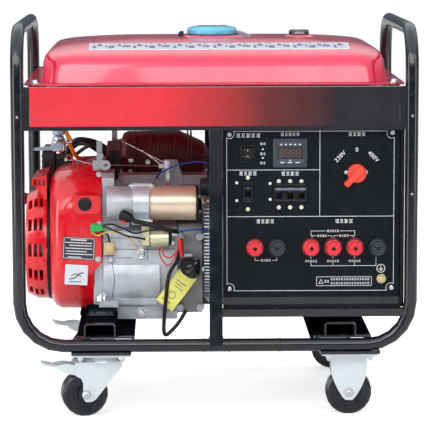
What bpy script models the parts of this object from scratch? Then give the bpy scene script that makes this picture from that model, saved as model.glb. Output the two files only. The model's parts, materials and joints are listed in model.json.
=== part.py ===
"""Open-frame petrol generating set on four casters, in metres.

X runs along the machine, the control panel faces -Y, Z is up and the floor is Z = 0.
"""

from math import cos, pi, radians, sin

import bmesh
import bpy
from mathutils import Matrix, Vector

# Tube frame
TUBE_R = 0.0115
FRAME_HALF_LENGTH = 0.350
FRAME_HALF_DEPTH = 0.265
FRAME_BOTTOM = 0.117
FRAME_TOP = 0.685
TOP_BEND_R = 0.068
BOTTOM_BEND_R = 0.0755
LEG_X = FRAME_HALF_LENGTH - TUBE_R
RAIL_Y = FRAME_HALF_DEPTH - TUBE_R

# Sheet and bar members of the frame, outer faces
FACE_Y = 0.262
POST_X = (-0.010, 0.0125)
LOW_RAIL_Z = (0.179, 0.192)
HIGH_RAIL_Z = (0.5035, 0.5102)
BAND_Z = (0.5105, 0.5775)
BAND_HALF_LENGTH = 0.317
BEAM_TOP = 0.143
BEAM_WALL = 0.003
BEAM_WIDTH = 0.099
PAD_Z = (0.1125, 0.1175)
PAD_HALF = 0.052

# Casters
CASTER_Y = 0.213
SWIVEL_X = -0.198
RIGID_X = 0.234
WHEEL_R = 0.0403
WHEEL_SIDES = 20
AXLE_Z = WHEEL_R * cos(pi / WHEEL_SIDES)
TRAIL = 0.032
SWIVEL_YAW = 12.0
PEDAL_PIVOT = (-0.0500, 0, 0.0880)

# Engine and alternator
CRANK_Z = 0.278
SHAFT_R = 0.015
SHAFT_BORE_R = 0.018
STARTER_Y = -0.110
STARTER_Z = 0.360
ALTERNATOR_R = 0.113
ENGINE_MOUNT_X = -0.2005
ALTERNATOR_MOUNT_X = 0.2175
MOUNT_Y = 0.142
MOUNT_TOP = 0.179
CHANNEL_TOP = 0.166
CHANNEL_HALF = 0.0275
RECOIL_Z = CRANK_Z - 0.004
RECOIL_R = 0.101
RECOIL_GRIP = (-0.3376, 0.030, 0.352)
DIPSTICK = (-0.0430, -0.112, 0.246)
DIPSTICK_AXIS = (-0.12, -0.985, 0.06)
GOVERNOR = (-0.0815, -0.050, 0.3720)
THROTTLE = (-0.2020, -0.0980, 0.4440)

# Control panel
PANEL_X = (0.014, 0.3215)
PANEL_Z = (0.2098, 0.5030)
PANEL_FRONT = -0.238
PANEL_THICK = 0.0025
NUT_X = (0.0690, 0.1073, 0.1666, 0.2047, 0.2424, 0.2816)
NUT_Z = 0.297
NUT_NAMES = ("single_live", "single_neutral", "phase_u", "phase_v", "phase_w", "phase_n")
KNOB_X = 0.2454
KNOB_Z = 0.4260
ROCKER_X = 0.0567
ROCKER_Z = 0.4608
METER_X = 0.1300
METER_Z = 0.4620
SINGLE_X = 0.0570
SINGLE_Z = 0.3945
TRIPLE_X = 0.1302
TRIPLE_Z = 0.3930
POLE_PITCH = 0.0195
GROUND_X = 0.2890
GROUND_Z = 0.2415
COLLAR_FRONT = PANEL_FRONT - 0.0055

# Tank
TANK_FLANGE_Z = (0.5795, 0.5825)
TANK_FLANGE_HALF = (0.3285, 0.250)
TANK_CAP_Z = 0.6545
TAP = (-0.277, -0.062, 0.462)

GAP = 0.0003


# ---------------------------------------------------------------- shapes

def mesh_object(name, vertices, faces):
    mesh = bpy.data.meshes.new(name)
    mesh.from_pydata([tuple(v) for v in vertices], [], faces)
    shape = bmesh.new()
    shape.from_mesh(mesh)
    bmesh.ops.recalc_face_normals(shape, faces=shape.faces)
    shape.to_mesh(mesh)
    shape.free()
    obj = bpy.data.objects.new(name, mesh)
    bpy.context.scene.collection.objects.link(obj)
    return obj


def loft(rings, closed=False):
    """A skin over rings of equal point count, capped at both ends unless closed on itself."""
    count = len(rings[0])
    vertices = [point for ring in rings for point in ring]
    faces = []
    spans = len(rings) if closed else len(rings) - 1
    for i in range(spans):
        a = i * count
        b = ((i + 1) % len(rings)) * count
        for k in range(count):
            n = (k + 1) % count
            faces.append((a + k, a + n, b + n, b + k))
    if not closed:
        faces.append(tuple(range(count)))
        faces.append(tuple(range(len(vertices) - count, len(vertices))))
    return mesh_object("shape", vertices, faces)


def block(x, y, z):
    corners = [(x[0], y[0]), (x[1], y[0]), (x[1], y[1]), (x[0], y[1])]
    return loft([[(a, b, height) for a, b in corners] for height in z])


def prism(outline, axis, start, end):
    """An outline drawn across an axis: (y, z) for x, (x, z) for y and (x, y) for z."""
    place = {
        "x": lambda a, b, t: (t, a, b),
        "y": lambda a, b, t: (a, t, b),
        "z": lambda a, b, t: (a, b, t),
    }[axis]
    return loft([[place(a, b, t) for a, b in outline] for t in (start, end)])


def turned(profile, centre, axis, sides, hollow=False):
    """A profile of (radius, distance) spun about an axis through centre, with a facet facing each quarter."""
    axis = Vector(axis).normalized()
    helper = Vector((0, 0, 1)) if abs(axis.z) < 0.9 else Vector((1, 0, 0))
    across = axis.cross(helper).normalized()
    up = across.cross(axis)
    centre = Vector(centre)
    vertices = []
    rings = []
    for radius, distance in profile:
        on_axis = centre + axis * distance
        if radius == 0:
            rings.append([len(vertices)] * sides)
            vertices.append(on_axis)
            continue
        first = len(vertices)
        for k in range(sides):
            angle = 2 * pi * (k + 0.5) / sides
            vertices.append(on_axis + radius * (cos(angle) * across + sin(angle) * up))
        rings.append(list(range(first, first + sides)))
    faces = []
    spans = len(rings) if hollow else len(rings) - 1
    for i in range(spans):
        a = rings[i]
        b = rings[(i + 1) % len(rings)]
        for k in range(sides):
            n = (k + 1) % sides
            corners = []
            for index in (a[k], a[n], b[n], b[k]):
                if index not in corners:
                    corners.append(index)
            if len(corners) > 2:
                faces.append(tuple(corners))
    if not hollow:
        for ring in (rings[0], rings[-1]):
            if len(set(ring)) > 1:
                faces.append(tuple(ring))
    return mesh_object("shape", vertices, faces)


def rod(start, end, radius, sides=12):
    start = Vector(start)
    end = Vector(end)
    length = (end - start).length
    return turned([(radius, 0), (radius, length)], start, end - start, sides)


def rounded_path(corners, radii, steps, closed):
    """A polyline whose corners are replaced by arcs."""
    corners = [Vector(c) for c in corners]
    path = []
    for i, corner in enumerate(corners):
        if not closed and i in (0, len(corners) - 1):
            path.append(corner)
            continue
        before = (corners[i - 1] - corner).normalized()
        after = (corners[(i + 1) % len(corners)] - corner).normalized()
        half = before.angle(after) / 2
        setback = radii[i] * cos(half) / sin(half)
        middle = corner + (before + after).normalized() * radii[i] / sin(half)
        start = corner + before * setback - middle
        finish = corner + after * setback - middle
        turn = start.angle(finish)
        for k in range(steps + 1):
            t = k / steps
            blend = sin((1 - t) * turn) * start + sin(t * turn) * finish
            path.append(middle + blend / sin(turn))
    return path


def sweep(path, radius, sides, closed=False):
    """A round tube along a path, its section carried round without twist."""
    path = [Vector(p) for p in path]
    count = len(path)
    tangents = []
    for i in range(count):
        ahead = path[(i + 1) % count] if closed or i < count - 1 else path[i]
        behind = path[i - 1] if closed or i > 0 else path[i]
        tangents.append((ahead - behind).normalized())
    helper = Vector((0, 0, 1)) if abs(tangents[0].z) < 0.9 else Vector((1, 0, 0))
    normal = (helper - tangents[0] * helper.dot(tangents[0])).normalized()
    normals = [normal]
    for i in range(1, count + (1 if closed else 0)):
        turn = tangents[i - 1].rotation_difference(tangents[i % count])
        normals.append(turn @ normals[-1])
    drift = 0.0
    if closed:
        end = normals.pop()
        side = tangents[0].cross(normals[0])
        step = 2 * pi / sides
        angle = Vector((end.dot(normals[0]), end.dot(side))).angle_signed(Vector((1, 0)))
        drift = (angle + step / 2) % step - step / 2
    rings = []
    for i, (point, tangent, normal) in enumerate(zip(path, tangents, normals)):
        side = tangent.cross(normal)
        offset = drift * i / count
        ring = []
        for k in range(sides):
            a = 2 * pi * k / sides + offset
            ring.append(point + radius * (cos(a) * normal + sin(a) * side))
        rings.append(ring)
    if closed:
        return closed_tube(rings)
    return loft(rings)


def closed_tube(rings):
    """Closes a ring of sections, matching the last to the first by the nearest start point."""
    count = len(rings[0])
    first = rings[0]
    last = rings[-1]
    shift = min(range(count), key=lambda s: (Vector(last[s]) - Vector(first[0])).length)
    vertices = [point for ring in rings for point in ring]
    faces = []
    for i in range(len(rings) - 1):
        for k in range(count):
            n = (k + 1) % count
            a = i * count
            faces.append((a + k, a + n, a + count + n, a + count + k))
    a = (len(rings) - 1) * count
    for k in range(count):
        n = (k + 1) % count
        faces.append((a + (k + shift) % count, a + (n + shift) % count, n, k))
    return mesh_object("shape", vertices, faces)


def rounded_rectangle(low, high, radius, steps=3):
    """Outline points of a rectangle with rounded corners, from (a, b) to (a, b)."""
    points = []
    centres = (
        (high[0] - radius, high[1] - radius),
        (low[0] + radius, high[1] - radius),
        (low[0] + radius, low[1] + radius),
        (high[0] - radius, low[1] + radius),
    )
    for quarter, (a, b) in enumerate(centres):
        for k in range(steps + 1):
            angle = (quarter + k / steps) * pi / 2
            points.append((a + radius * cos(angle), b + radius * sin(angle)))
    return points


def across_x(x, low, high, radius, steps=3):
    return [(x, y, z) for y, z in rounded_rectangle(low, high, radius, steps)]


def level(z, half_x, half_y, radius, steps=4):
    outline = rounded_rectangle((-half_x, -half_y), (half_x, half_y), radius, steps)
    return [(x, y, z) for x, y in outline]


def combine(base, others, operation):
    for other in others:
        modifier = base.modifiers.new("join", "BOOLEAN")
        modifier.operation = operation
        modifier.solver = "EXACT"
        modifier.object = other
    bpy.context.view_layer.update()
    graph = bpy.context.evaluated_depsgraph_get()
    mesh = bpy.data.meshes.new_from_object(base.evaluated_get(graph))
    base.modifiers.clear()
    base.data = mesh
    for other in others:
        bpy.data.objects.remove(other)
    return base


def join(base, *others):
    return combine(base, others, "UNION")


def cut(base, *cutters):
    return combine(base, cutters, "DIFFERENCE")


def gathered(shapes):
    """Separate shapes as one mesh, to cut with in a single pass."""
    base = shapes[0]
    merged = bmesh.new()
    for shape in shapes:
        merged.from_mesh(shape.data)
    merged.to_mesh(base.data)
    merged.free()
    for shape in shapes[1:]:
        bpy.data.objects.remove(shape)
    return base


def moved(obj, matrix):
    obj.data.transform(matrix)
    return obj


def piece(name, obj, material, origin=(0, 0, 0), smooth_below=35):
    """Names a solid, gives it its material and puts its origin on its joint axis."""
    obj.name = name
    obj.data.name = name
    obj.data.transform(Matrix.Translation(-Vector(origin)))
    obj.location = origin
    obj.data.materials.clear()
    obj.data.materials.append(material)
    for face in obj.data.polygons:
        face.material_index = 0
        face.use_smooth = True
    obj.data.set_sharp_from_angle(angle=radians(smooth_below))
    return obj


def surface(name, colour, roughness, metallic=0.0):
    material = bpy.data.materials.new(name)
    material.use_nodes = True
    shader = material.node_tree.nodes["Principled BSDF"]
    shader.inputs["Base Color"].default_value = (*colour, 1)
    shader.inputs["Roughness"].default_value = roughness
    shader.inputs["Metallic"].default_value = metallic
    material.diffuse_color = (*colour, 1)
    return material


# ---------------------------------------------------------------- frame

def both_sides(make):
    """The same member on the front (-1) and on the back (1)."""
    return [make(-1), make(1)]


def span(side, near, far):
    """A Y range given by its distances from the middle, on the front or on the back."""
    return tuple(sorted((side * near, side * far)))


def tube_loop():
    """One bent tube: front U, rear U and the two end bars that join them as handles."""
    low = FRAME_BOTTOM + TUBE_R
    high = FRAME_TOP - TUBE_R
    corners = []
    for x, y, heights in (
        (-LEG_X, -RAIL_Y, (high, low)),
        (LEG_X, -RAIL_Y, (low, high)),
        (LEG_X, RAIL_Y, (high, low)),
        (-LEG_X, RAIL_Y, (low, high)),
    ):
        corners += [(x, y, z) for z in heights]
    radii = [TOP_BEND_R if z == high else BOTTOM_BEND_R for _, _, z in corners]
    return sweep(rounded_path(corners, radii, 5, True), TUBE_R, 12, True)


def base_beam(centre_x):
    """A channel across the bottom of the frame, open side down."""
    left = centre_x - BEAM_WIDTH / 2
    right = centre_x + BEAM_WIDTH / 2
    top = BEAM_TOP
    bottom = FRAME_BOTTOM + 0.0002
    wall = BEAM_WALL
    outline = [(left, bottom), (left, top), (right, top), (right, bottom)]
    outline += [(right - wall, bottom), (right - wall, top - wall)]
    outline += [(left + wall, top - wall), (left + wall, bottom)]
    return prism(outline, "y", -RAIL_Y + 0.004, RAIL_Y - 0.004)


def caster_pad(centre_x, side):
    x = (centre_x - PAD_HALF, centre_x + PAD_HALF)
    return block(x, span(side, 0.161, 0.2621), PAD_Z)


def mount_channel(centre_x, side):
    """The inverted channel on a base beam that carries one rubber mount."""
    wall = 0.003
    corner = 0.005
    half = CHANNEL_HALF
    foot = BEAM_TOP - 0.001
    outer = [(-half, foot), (-half, CHANNEL_TOP - corner), (-half + corner, CHANNEL_TOP)]
    inner = [(-half + wall, foot), (-half + wall, CHANNEL_TOP - corner), (-half + corner, CHANNEL_TOP - wall)]
    outline = outer + [(-x, z) for x, z in reversed(outer)]
    outline += [(-x, z) for x, z in inner]
    outline += list(reversed(inner))
    points = [(centre_x + x, z) for x, z in outline]
    return prism(points, "y", *span(side, MOUNT_Y - 0.024, 0.247))


def make_frame(black):
    frame = tube_loop()
    members = []
    members += both_sides(lambda s: block(POST_X, span(s, 0.2420, 0.2645), (0.1285, 0.506)))
    members += both_sides(lambda s: block((-LEG_X, LEG_X), span(s, 0.2421, 0.262), HIGH_RAIL_Z))
    members += both_sides(lambda s: block((0.001, LEG_X - 0.002), span(s, 0.2422, 0.2618), LOW_RAIL_Z))
    members += both_sides(lambda s: block((-LEG_X, LEG_X), span(s, 0.2225, 0.2426), (0.546, 0.566)))
    for end in (-1, 1):
        x = tuple(sorted((end * (BAND_HALF_LENGTH + GAP), end * (LEG_X - 0.006))))
        members += both_sides(lambda s: block(x, span(s, 0.2423, 0.2619), (0.505, BAND_Z[1])))
    rear_panel = block((-0.3175, 0.3175), (0.2585, 0.2617), (0.5090, BAND_Z[1] - 0.0003))
    members.append(rear_panel)
    for beam_x in (SWIVEL_X + 0.0065, RIGID_X - 0.0125):
        members.append(base_beam(beam_x))
    for pad_x in (SWIVEL_X, RIGID_X):
        members += both_sides(lambda s: caster_pad(pad_x, s))
    for mount_x in (ENGINE_MOUNT_X, ALTERNATOR_MOUNT_X):
        members += both_sides(lambda s: mount_channel(mount_x, s))
    return piece("frame", join(frame, *members), black)


def make_front_band(material):
    """The channel between the front legs, under the tank."""
    low, high = BAND_Z
    wall = 0.0025
    depth = 0.0165
    front = -FACE_Y
    outline = [(front, low), (front, high), (front + depth, high), (front + depth, high - wall)]
    outline += [(front + wall, high - wall), (front + wall, low + wall)]
    outline += [(front + depth, low + wall), (front + depth, low)]
    band = prism(outline, "x", -BAND_HALF_LENGTH, BAND_HALF_LENGTH)
    return piece("front_band", band, material)


def make_rubber_mount(name, centre_x, side, material):
    half_x = 0.0235
    y = span(side, MOUNT_Y - 0.020, MOUNT_Y + 0.020)
    low = (centre_x - half_x, y[0])
    high = (centre_x + half_x, y[1])
    waist = 0.003
    outline = rounded_rectangle(low, high, 0.004, 2)
    middle_low = (low[0] + waist, low[1] + waist)
    middle_high = (high[0] - waist, high[1] - waist)
    middle = rounded_rectangle(middle_low, middle_high, 0.004, 2)
    bottom = CHANNEL_TOP + GAP
    top = MOUNT_TOP
    centre_z = (bottom + top) / 2
    rings = []
    for ring, z in ((outline, bottom), (middle, centre_z), (outline, top)):
        rings.append([(x, y0, z) for x, y0 in ring])
    return piece(name, loft(rings), material)


# ---------------------------------------------------------------- tank

def make_tank(material):
    low, high = TANK_FLANGE_Z
    flange = loft([level(z, *TANK_FLANGE_HALF, 0.022, 3) for z in (low, high)])
    shell = (
        (0.5800, 0.3005, 0.2290, 0.045),
        (0.6200, 0.2965, 0.2190, 0.050),
        (0.6260, 0.2950, 0.2140, 0.052),
        (0.6340, 0.2890, 0.1960, 0.056),
        (0.6410, 0.2740, 0.1650, 0.060),
        (0.6460, 0.2450, 0.1300, 0.060),
        (0.6500, 0.1900, 0.0900, 0.050),
        (0.6520, 0.1100, 0.0600, 0.040),
    )
    upper = loft([level(*station, 4) for station in shell])
    lower = loft([level(z, 0.292, 0.217, 0.040, 2) for z in (0.5480, 0.5805)])
    neck = turned([(0.056, 0.6480), (0.053, TANK_CAP_Z)], (0, 0, 0), (0, 0, 1), 20)
    gauge_seat = turned([(0.026, 0.6470), (0.023, 0.6535)], (0.1575, 0, 0), (0, 0, 1), 16)
    tank = join(upper, flange, lower, neck, gauge_seat)
    return piece("fuel_tank", tank, material, smooth_below=40)


def make_cap(material):
    z = TANK_CAP_Z + GAP
    profile = [(0, z), (0.0430, z), (0.0450, z + 0.002), (0.0450, z + 0.009)]
    profile += [(0.0420, z + 0.0128), (0.0150, z + 0.0135), (0, z + 0.0135)]
    return piece("fuel_cap", turned(profile, (0, 0, 0), (0, 0, 1), 24), material)


def make_gauge(material):
    z = 0.6535 + GAP
    profile = [(0, z), (0.0185, z), (0.0185, z + 0.006), (0.0165, z + 0.0080), (0, z + 0.0080)]
    return piece("fuel_gauge", turned(profile, (0.1575, 0, 0), (0, 0, 1), 20), material)


def make_fuel_tap(material):
    x, y, z = TAP
    profile = [(0, -0.014), (0.008, -0.014), (0.0125, -0.010), (0.0125, 0.004), (0.010, 0.007)]
    profile += [(0.010, 0.013), (0.0055, 0.016), (0.0055, 0.0855), (0, 0.0855)]
    body = turned(profile, TAP, (0, 0, 1), 16)
    boss = rod((x, y, z), (x, y - 0.0155, z), 0.0065, 12)
    outlet = rod((x, y, z), (x + 0.024, y, z + 0.004), 0.0035, 10)
    return piece("fuel_tap", join(body, boss, outlet), material)


def make_tap_lever(material):
    x, y, z = TAP
    front = y - 0.0158
    outline = [(0.008, -0.006), (0.008, 0.004), (-0.004, 0.005), (-0.012, -0.0020), (-0.042, -0.0050)]
    outline += [(-0.044, -0.0075), (-0.042, -0.0100), (-0.012, -0.0090), (-0.004, -0.0085)]
    lever = prism([(x + a, z + b) for a, b in outline], "y", front - 0.006, front)
    return piece("fuel_tap_lever", lever, material, (x, front, z))


# ---------------------------------------------------------------- engine

def crank_bore(x_start, x_end, radius=SHAFT_BORE_R):
    return rod((x_start, 0, CRANK_Z), (x_end, 0, CRANK_Z), radius, 16)


def make_crankcase(material):
    outline = [(-0.118, 0.166), (-0.118, 0.300), (-0.112, 0.311), (-0.082, 0.321), (0.060, 0.340)]
    outline += [(0.110, 0.330), (0.118, 0.310), (0.118, 0.166)]
    body = prism(outline, "x", -0.1978, -0.0648)
    foot = block((-0.1718, -0.0655), (-0.1285, 0.1285), (0.154, 0.168))
    ledge = block((-0.2040, -0.1700), (-0.156, 0.156), (MOUNT_TOP + GAP, 0.190))
    flange_outline = [(-0.104, 0.312), (-0.108, 0.405), (-0.098, 0.413), (-0.030, 0.413), (-0.020, 0.330)]
    flange = prism(flange_outline, "x", -0.1988, -0.1770)
    boss = rod((-0.190, STARTER_Y, STARTER_Z), (-0.1433, STARTER_Y, STARTER_Z), 0.031, 18)
    web = block((-0.1895, -0.150), (-0.1015, -0.040), (0.3155, 0.3745))
    barrel = loft(
        [
            [(x, y, z) for x, z in rounded_rectangle((-0.172, 0.268), (-0.078, 0.352), 0.02, 2)]
            for y in (0.100, 0.1697)
        ]
    )
    deck = block((-0.160, -0.066), (-0.040, 0.020), (0.325, 0.352))
    case = join(body, foot, ledge, flange, boss, web, barrel, deck)
    return piece("crankcase", cut(case, crank_bore(-0.21, -0.05)), material)


def make_cover(material):
    outline = [(-0.112, 0.163), (-0.112, 0.305), (-0.100, 0.322), (-0.060, 0.326), (0.0, 0.345)]
    outline += [(0.060, 0.345), (0.112, 0.310), (0.112, 0.163)]
    cover = prism(outline, "x", -0.0645, -0.0205)
    neck = turned([(0.0135, -0.02), (0.0135, 0.006)], DIPSTICK, DIPSTICK_AXIS, 16)
    bore = turned([(0.0075, -0.075), (0.0075, 0.02)], DIPSTICK, DIPSTICK_AXIS, 12)
    return piece("crankcase_cover", cut(join(cover, neck), crank_bore(-0.08, -0.01), bore), material)


def make_dipstick(material):
    profile = [(0, -0.062), (0.0035, -0.062), (0.0035, 0.0063), (0.0125, 0.0063), (0.0155, 0.009)]
    profile += [(0.0155, 0.026), (0.0135, 0.0285), (0, 0.0285)]
    return piece("oil_dipstick", turned(profile, DIPSTICK, DIPSTICK_AXIS, 16), material, DIPSTICK)


def make_head(material):
    def slab(y, low, high, radius):
        return [(x, y, z) for x, z in rounded_rectangle(low, high, radius, 2)]

    head = loft([slab(y, (-0.182, 0.258), (-0.068, 0.362), 0.014) for y in (0.1700, 0.1860)])
    cover = loft(
        [
            slab(0.1800, (-0.158, 0.280), (-0.090, 0.345), 0.016),
            slab(0.2100, (-0.158, 0.280), (-0.090, 0.345), 0.016),
            slab(0.2180, (-0.150, 0.288), (-0.098, 0.337), 0.012),
        ]
    )
    return piece("cylinder_head", join(head, cover), material)


def make_shroud(material):
    """Fan housing: a rounded box over the flywheel, stepped at its lower right edge."""
    stations = (
        (-0.2920, (-0.106, 0.176), (0.106, 0.398), 0.074),
        (-0.2840, (-0.120, 0.165), (0.120, 0.408), 0.082),
        (-0.2740, (-0.126, 0.1605), (0.126, 0.4140), 0.086),
        (-0.2300, (-0.128, 0.160), (0.128, 0.4240), 0.090),
        (-0.1995, (-0.128, 0.160), (0.128, 0.4310), 0.092),
    )
    outer = loft([across_x(*station, 5) for station in stations])
    pad = loft(
        [
            [(x, y, z) for x, z in rounded_rectangle(low, high, 0.008, 2)]
            for y, low, high in (
                (-0.120, (-0.2520, 0.3390), (-0.2000, 0.3800)),
                (-0.1310, (-0.2480, 0.3430), (-0.2010, 0.3760)),
            )
        ]
    )
    body = join(outer, pad)
    inside = rod((-0.2885, 0, CRANK_Z), (-0.180, 0, CRANK_Z), 0.1045, 24)
    mouth = rod((-0.300, 0, CRANK_Z), (-0.280, 0, CRANK_Z), 0.080, 20)
    step_outline = [(-0.2150, 0.150), (-0.2150, 0.238), (-0.1985, 0.256), (-0.150, 0.256), (-0.150, 0.150)]
    step = prism(step_outline, "y", -0.20, 0.20)
    return piece("fan_shroud", cut(body, inside, mouth, step), material, smooth_below=40)


def recoil_slots():
    """Vent slots in threes round both sides of the recoil cover."""
    cutters = []
    half_height = 0.0115
    for side in (-1, 1):
        for step in range(-2, 3):
            turn = Matrix.Rotation(radians(27.5 * step), 4, "X")
            for x in (-0.3290, -0.3190, -0.3090):
                slot = block((x - 0.0031, x + 0.0031), span(side, 0.070, 0.115), (-half_height, half_height))
                moved(slot, turn)
                cutters.append(moved(slot, Matrix.Translation((0, 0, RECOIL_Z))))
    return cutters


def make_recoil(material):
    """Recoil starter cover: a slotted cup with a slotted guard wing standing above it."""
    edge = RECOIL_R
    lip = edge - 0.013
    bore = edge - 0.0155
    profile = [(lip, -0.2925), (lip, -0.2985), (edge, -0.2985), (edge, -0.318)]
    profile += [(edge - 0.009, -0.3370), (0, -0.3370), (0, -0.3345), (edge - 0.0105, -0.3345)]
    profile += [(edge - 0.0025, -0.3175), (edge - 0.0025, -0.3012), (bore, -0.3012), (bore, -0.2925)]
    cup = turned(profile, (0, 0, RECOIL_Z), (1, 0, 0), 24)
    wing_outline = [(-0.3250, 0.3995), (-0.2987, 0.4075), (-0.2987, 0.3620), (-0.3035, 0.3620)]
    wing_outline += [(-0.3060, 0.3700), (-0.3250, 0.3905)]
    wing = prism(wing_outline, "y", -0.072, 0.072)
    slots = []
    for side in (-1, 1):
        for x in (-0.3190, -0.3115, -0.3040):
            slots.append(block((x - 0.0020, x + 0.0020), span(side, 0.060, 0.080), (0.388, 0.398)))
    slots += recoil_slots()
    inside = rod((-0.3345, 0, RECOIL_Z), (-0.3012, 0, RECOIL_Z), edge - 0.0095, 26)
    wing = cut(wing, inside)
    return piece("recoil_cover", cut(join(cup, wing), gathered(slots)), material)


def make_grip(material):
    x, y, z = RECOIL_GRIP
    rings = []
    for distance, low, high, radius in (
        (0.0000, 0.0045, 0.0045, 0.0040),
        (-0.0020, 0.0050, 0.0050, 0.0045),
        (-0.0022, 0.0340, 0.0065, 0.0060),
        (-0.0070, 0.0380, 0.0085, 0.0080),
        (-0.0115, 0.0340, 0.0065, 0.0060),
    ):
        outline = rounded_rectangle((y - low, z - high), (y + low, z + high), radius, 2)
        rings.append([(x + distance, a, b) for a, b in outline])
    return piece("recoil_grip", loft(rings), material, RECOIL_GRIP)


def make_flywheel(material):
    profile = [(0.0105, -0.2820), (0.030, -0.2820), (0.034, -0.2660), (0.098, -0.2660)]
    profile += [(0.098, -0.2380), (0.0105, -0.2380)]
    wheel = turned(profile, (0, 0, CRANK_Z), (1, 0, 0), 18, hollow=True)
    return piece("flywheel", wheel, material, (-0.26, 0, CRANK_Z))


def make_crankshaft(material):
    profile = [(0, -0.290), (0.0101, -0.290), (0.0101, -0.2376), (SHAFT_R, -0.2376), (SHAFT_R, 0.032)]
    profile += [(0.0720, 0.036), (0.0720, 0.176), (SHAFT_R, 0.180), (SHAFT_R, 0.236), (0, 0.236)]
    centre = (0, 0, CRANK_Z)
    return piece("crankshaft_rotor", turned(profile, centre, (1, 0, 0), 16), material, centre)


def make_starter(material):
    profile = [(0, -0.1430), (0.0335, -0.1430), (0.0335, -0.1140), (0.0305, -0.1120), (0.0305, -0.0310)]
    profile += [(0.0318, -0.0305), (0.0318, -0.0280), (0.0280, -0.0262), (0, -0.0262)]
    body = turned(profile, (0, STARTER_Y, STARTER_Z), (1, 0, 0), 20)
    return piece("starter_motor", body, material, smooth_below=30)


def make_solenoid(material):
    y = -0.1375
    z = 0.3005
    body = turned([(0.0145, -0.1150), (0.0145, -0.0805)], (0, y, z), (1, 0, 0), 20)
    ear = block((-0.1280, -0.1145), (y - 0.006, y + 0.0175), (z - 0.012, 0.322))
    stud = rod((-0.0815, y, z + 0.006), (-0.0740, y, z + 0.006), 0.003, 10)
    return piece("starter_solenoid", join(body, ear, stud), material)


def make_muffler(material):
    stations = (
        (-0.1950, (0.050, 0.409), (0.120, 0.444), 0.010),
        (-0.1915, (0.044, 0.404), (0.126, 0.450), 0.012),
        (-0.1680, (0.040, 0.403), (0.130, 0.453), 0.012),
        (-0.1640, (0.026, 0.397), (0.150, 0.463), 0.018),
        (-0.1560, (0.021, 0.393), (0.155, 0.467), 0.020),
        (-0.0600, (0.021, 0.393), (0.155, 0.468), 0.020),
        (-0.0160, (0.024, 0.395), (0.152, 0.448), 0.018),
        (-0.0080, (0.032, 0.402), (0.144, 0.438), 0.014),
    )
    body = loft([across_x(*station, 3) for station in stations])
    outline = [(-0.176, 0.018), (-0.004, 0.018), (-0.004, 0.158), (-0.176, 0.158)]
    seam = prism(outline, "z", 0.4265, 0.4285)
    pipe = rod((-0.110, 0.150, 0.430), (-0.110, 0.195, 0.430), 0.0135, 14)
    bore = rod((-0.110, 0.175, 0.430), (-0.110, 0.200, 0.430), 0.0115, 14)
    return piece("muffler", cut(join(body, seam, pipe), bore), material)


def make_air_cleaner(material):
    """Two-part air cleaner box with a neck that reaches the carburettor."""
    rings = []
    for x, low, high, radius in (
        (-0.3180, (0.136, 0.358), (0.219, 0.430), 0.018),
        (-0.3140, (0.130, 0.352), (0.225, 0.436), 0.020),
        (-0.2940, (0.130, 0.352), (0.225, 0.436), 0.020),
        (-0.2920, (0.133, 0.355), (0.222, 0.433), 0.020),
        (-0.2660, (0.133, 0.355), (0.222, 0.433), 0.020),
        (-0.2620, (0.140, 0.362), (0.215, 0.426), 0.016),
    ):
        rings.append(across_x(x, low, high, radius, 3))
    neck = rod((-0.2700, 0.196, 0.392), (-0.2079, 0.196, 0.392), 0.0155, 14)
    return piece("air_cleaner", join(loft(rings), neck), material)


def make_carburettor(material):
    throat = rod((-0.2076, 0.196, 0.392), (-0.1500, 0.196, 0.392), 0.0165, 14)
    bowl = turned([(0.012, 0.368), (0.0165, 0.371), (0.0165, 0.392)], (-0.178, 0.196, 0), (0, 0, 1), 14)
    body = block((-0.1960, -0.1620), (0.182, 0.212), (0.384, 0.410))
    return piece("carburettor", join(throat, bowl, body), material)


def make_governor_arm(material):
    x, y, z = GOVERNOR
    hub = rod((x, y + 0.006, z), (x, y - 0.006, z), 0.008, 12)
    arm = block((x - 0.0035, x + 0.0035), (y - 0.0015, y + 0.0015), (z, z + 0.046))
    clamp = rod((x + 0.001, y, z + 0.037), (x + 0.001, y, z + 0.060), 0.0075, 12)
    tip = block((x - 0.016, x), (y - 0.0012, y + 0.0014), (z + 0.044, z + 0.052))
    return piece("governor_arm", join(hub, arm, clamp, tip), material, GOVERNOR)


def make_throttle_lever(material):
    x, y, z = THROTTLE
    post = block((x - 0.006, x + 0.004), (y - 0.0012, y + 0.0012), (z - 0.022, z + 0.026))
    plate = block((x - 0.013, x + 0.011), (y - 0.0015, y + 0.0015), (z - 0.026, z - 0.008))
    eye = rod((x + 0.010, y + 0.0018, z - 0.017), (x + 0.010, y - 0.0018, z - 0.017), 0.009, 14)
    hub = rod((x, y + 0.008, z), (x, y - 0.005, z), 0.0065, 12)
    lever = join(post, plate, eye, hub)
    hole = rod((x + 0.010, y + 0.01, z - 0.017), (x + 0.010, y - 0.01, z - 0.017), 0.0030, 10)
    return piece("throttle_lever", cut(lever, hole), material, THROTTLE)


# ---------------------------------------------------------------- alternator

def make_adapter(material):
    profile = [(0.100, -0.0200), (ALTERNATOR_R, -0.008), (ALTERNATOR_R, 0.0200), (0.088, 0.0200)]
    profile += [(0.088, 0.000), (SHAFT_BORE_R, 0.000), (SHAFT_BORE_R, -0.0200)]
    return piece("alternator_adapter", turned(profile, (0, 0, CRANK_Z), (1, 0, 0), 20, hollow=True), material)


def make_stator(material):
    edge = ALTERNATOR_R - 0.001
    profile = [(edge, 0.0203), (edge, 0.1900), (0.0760, 0.1900), (0.0760, 0.0203)]
    return piece("stator", turned(profile, (0, 0, CRANK_Z), (1, 0, 0), 20, hollow=True), material)


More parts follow.
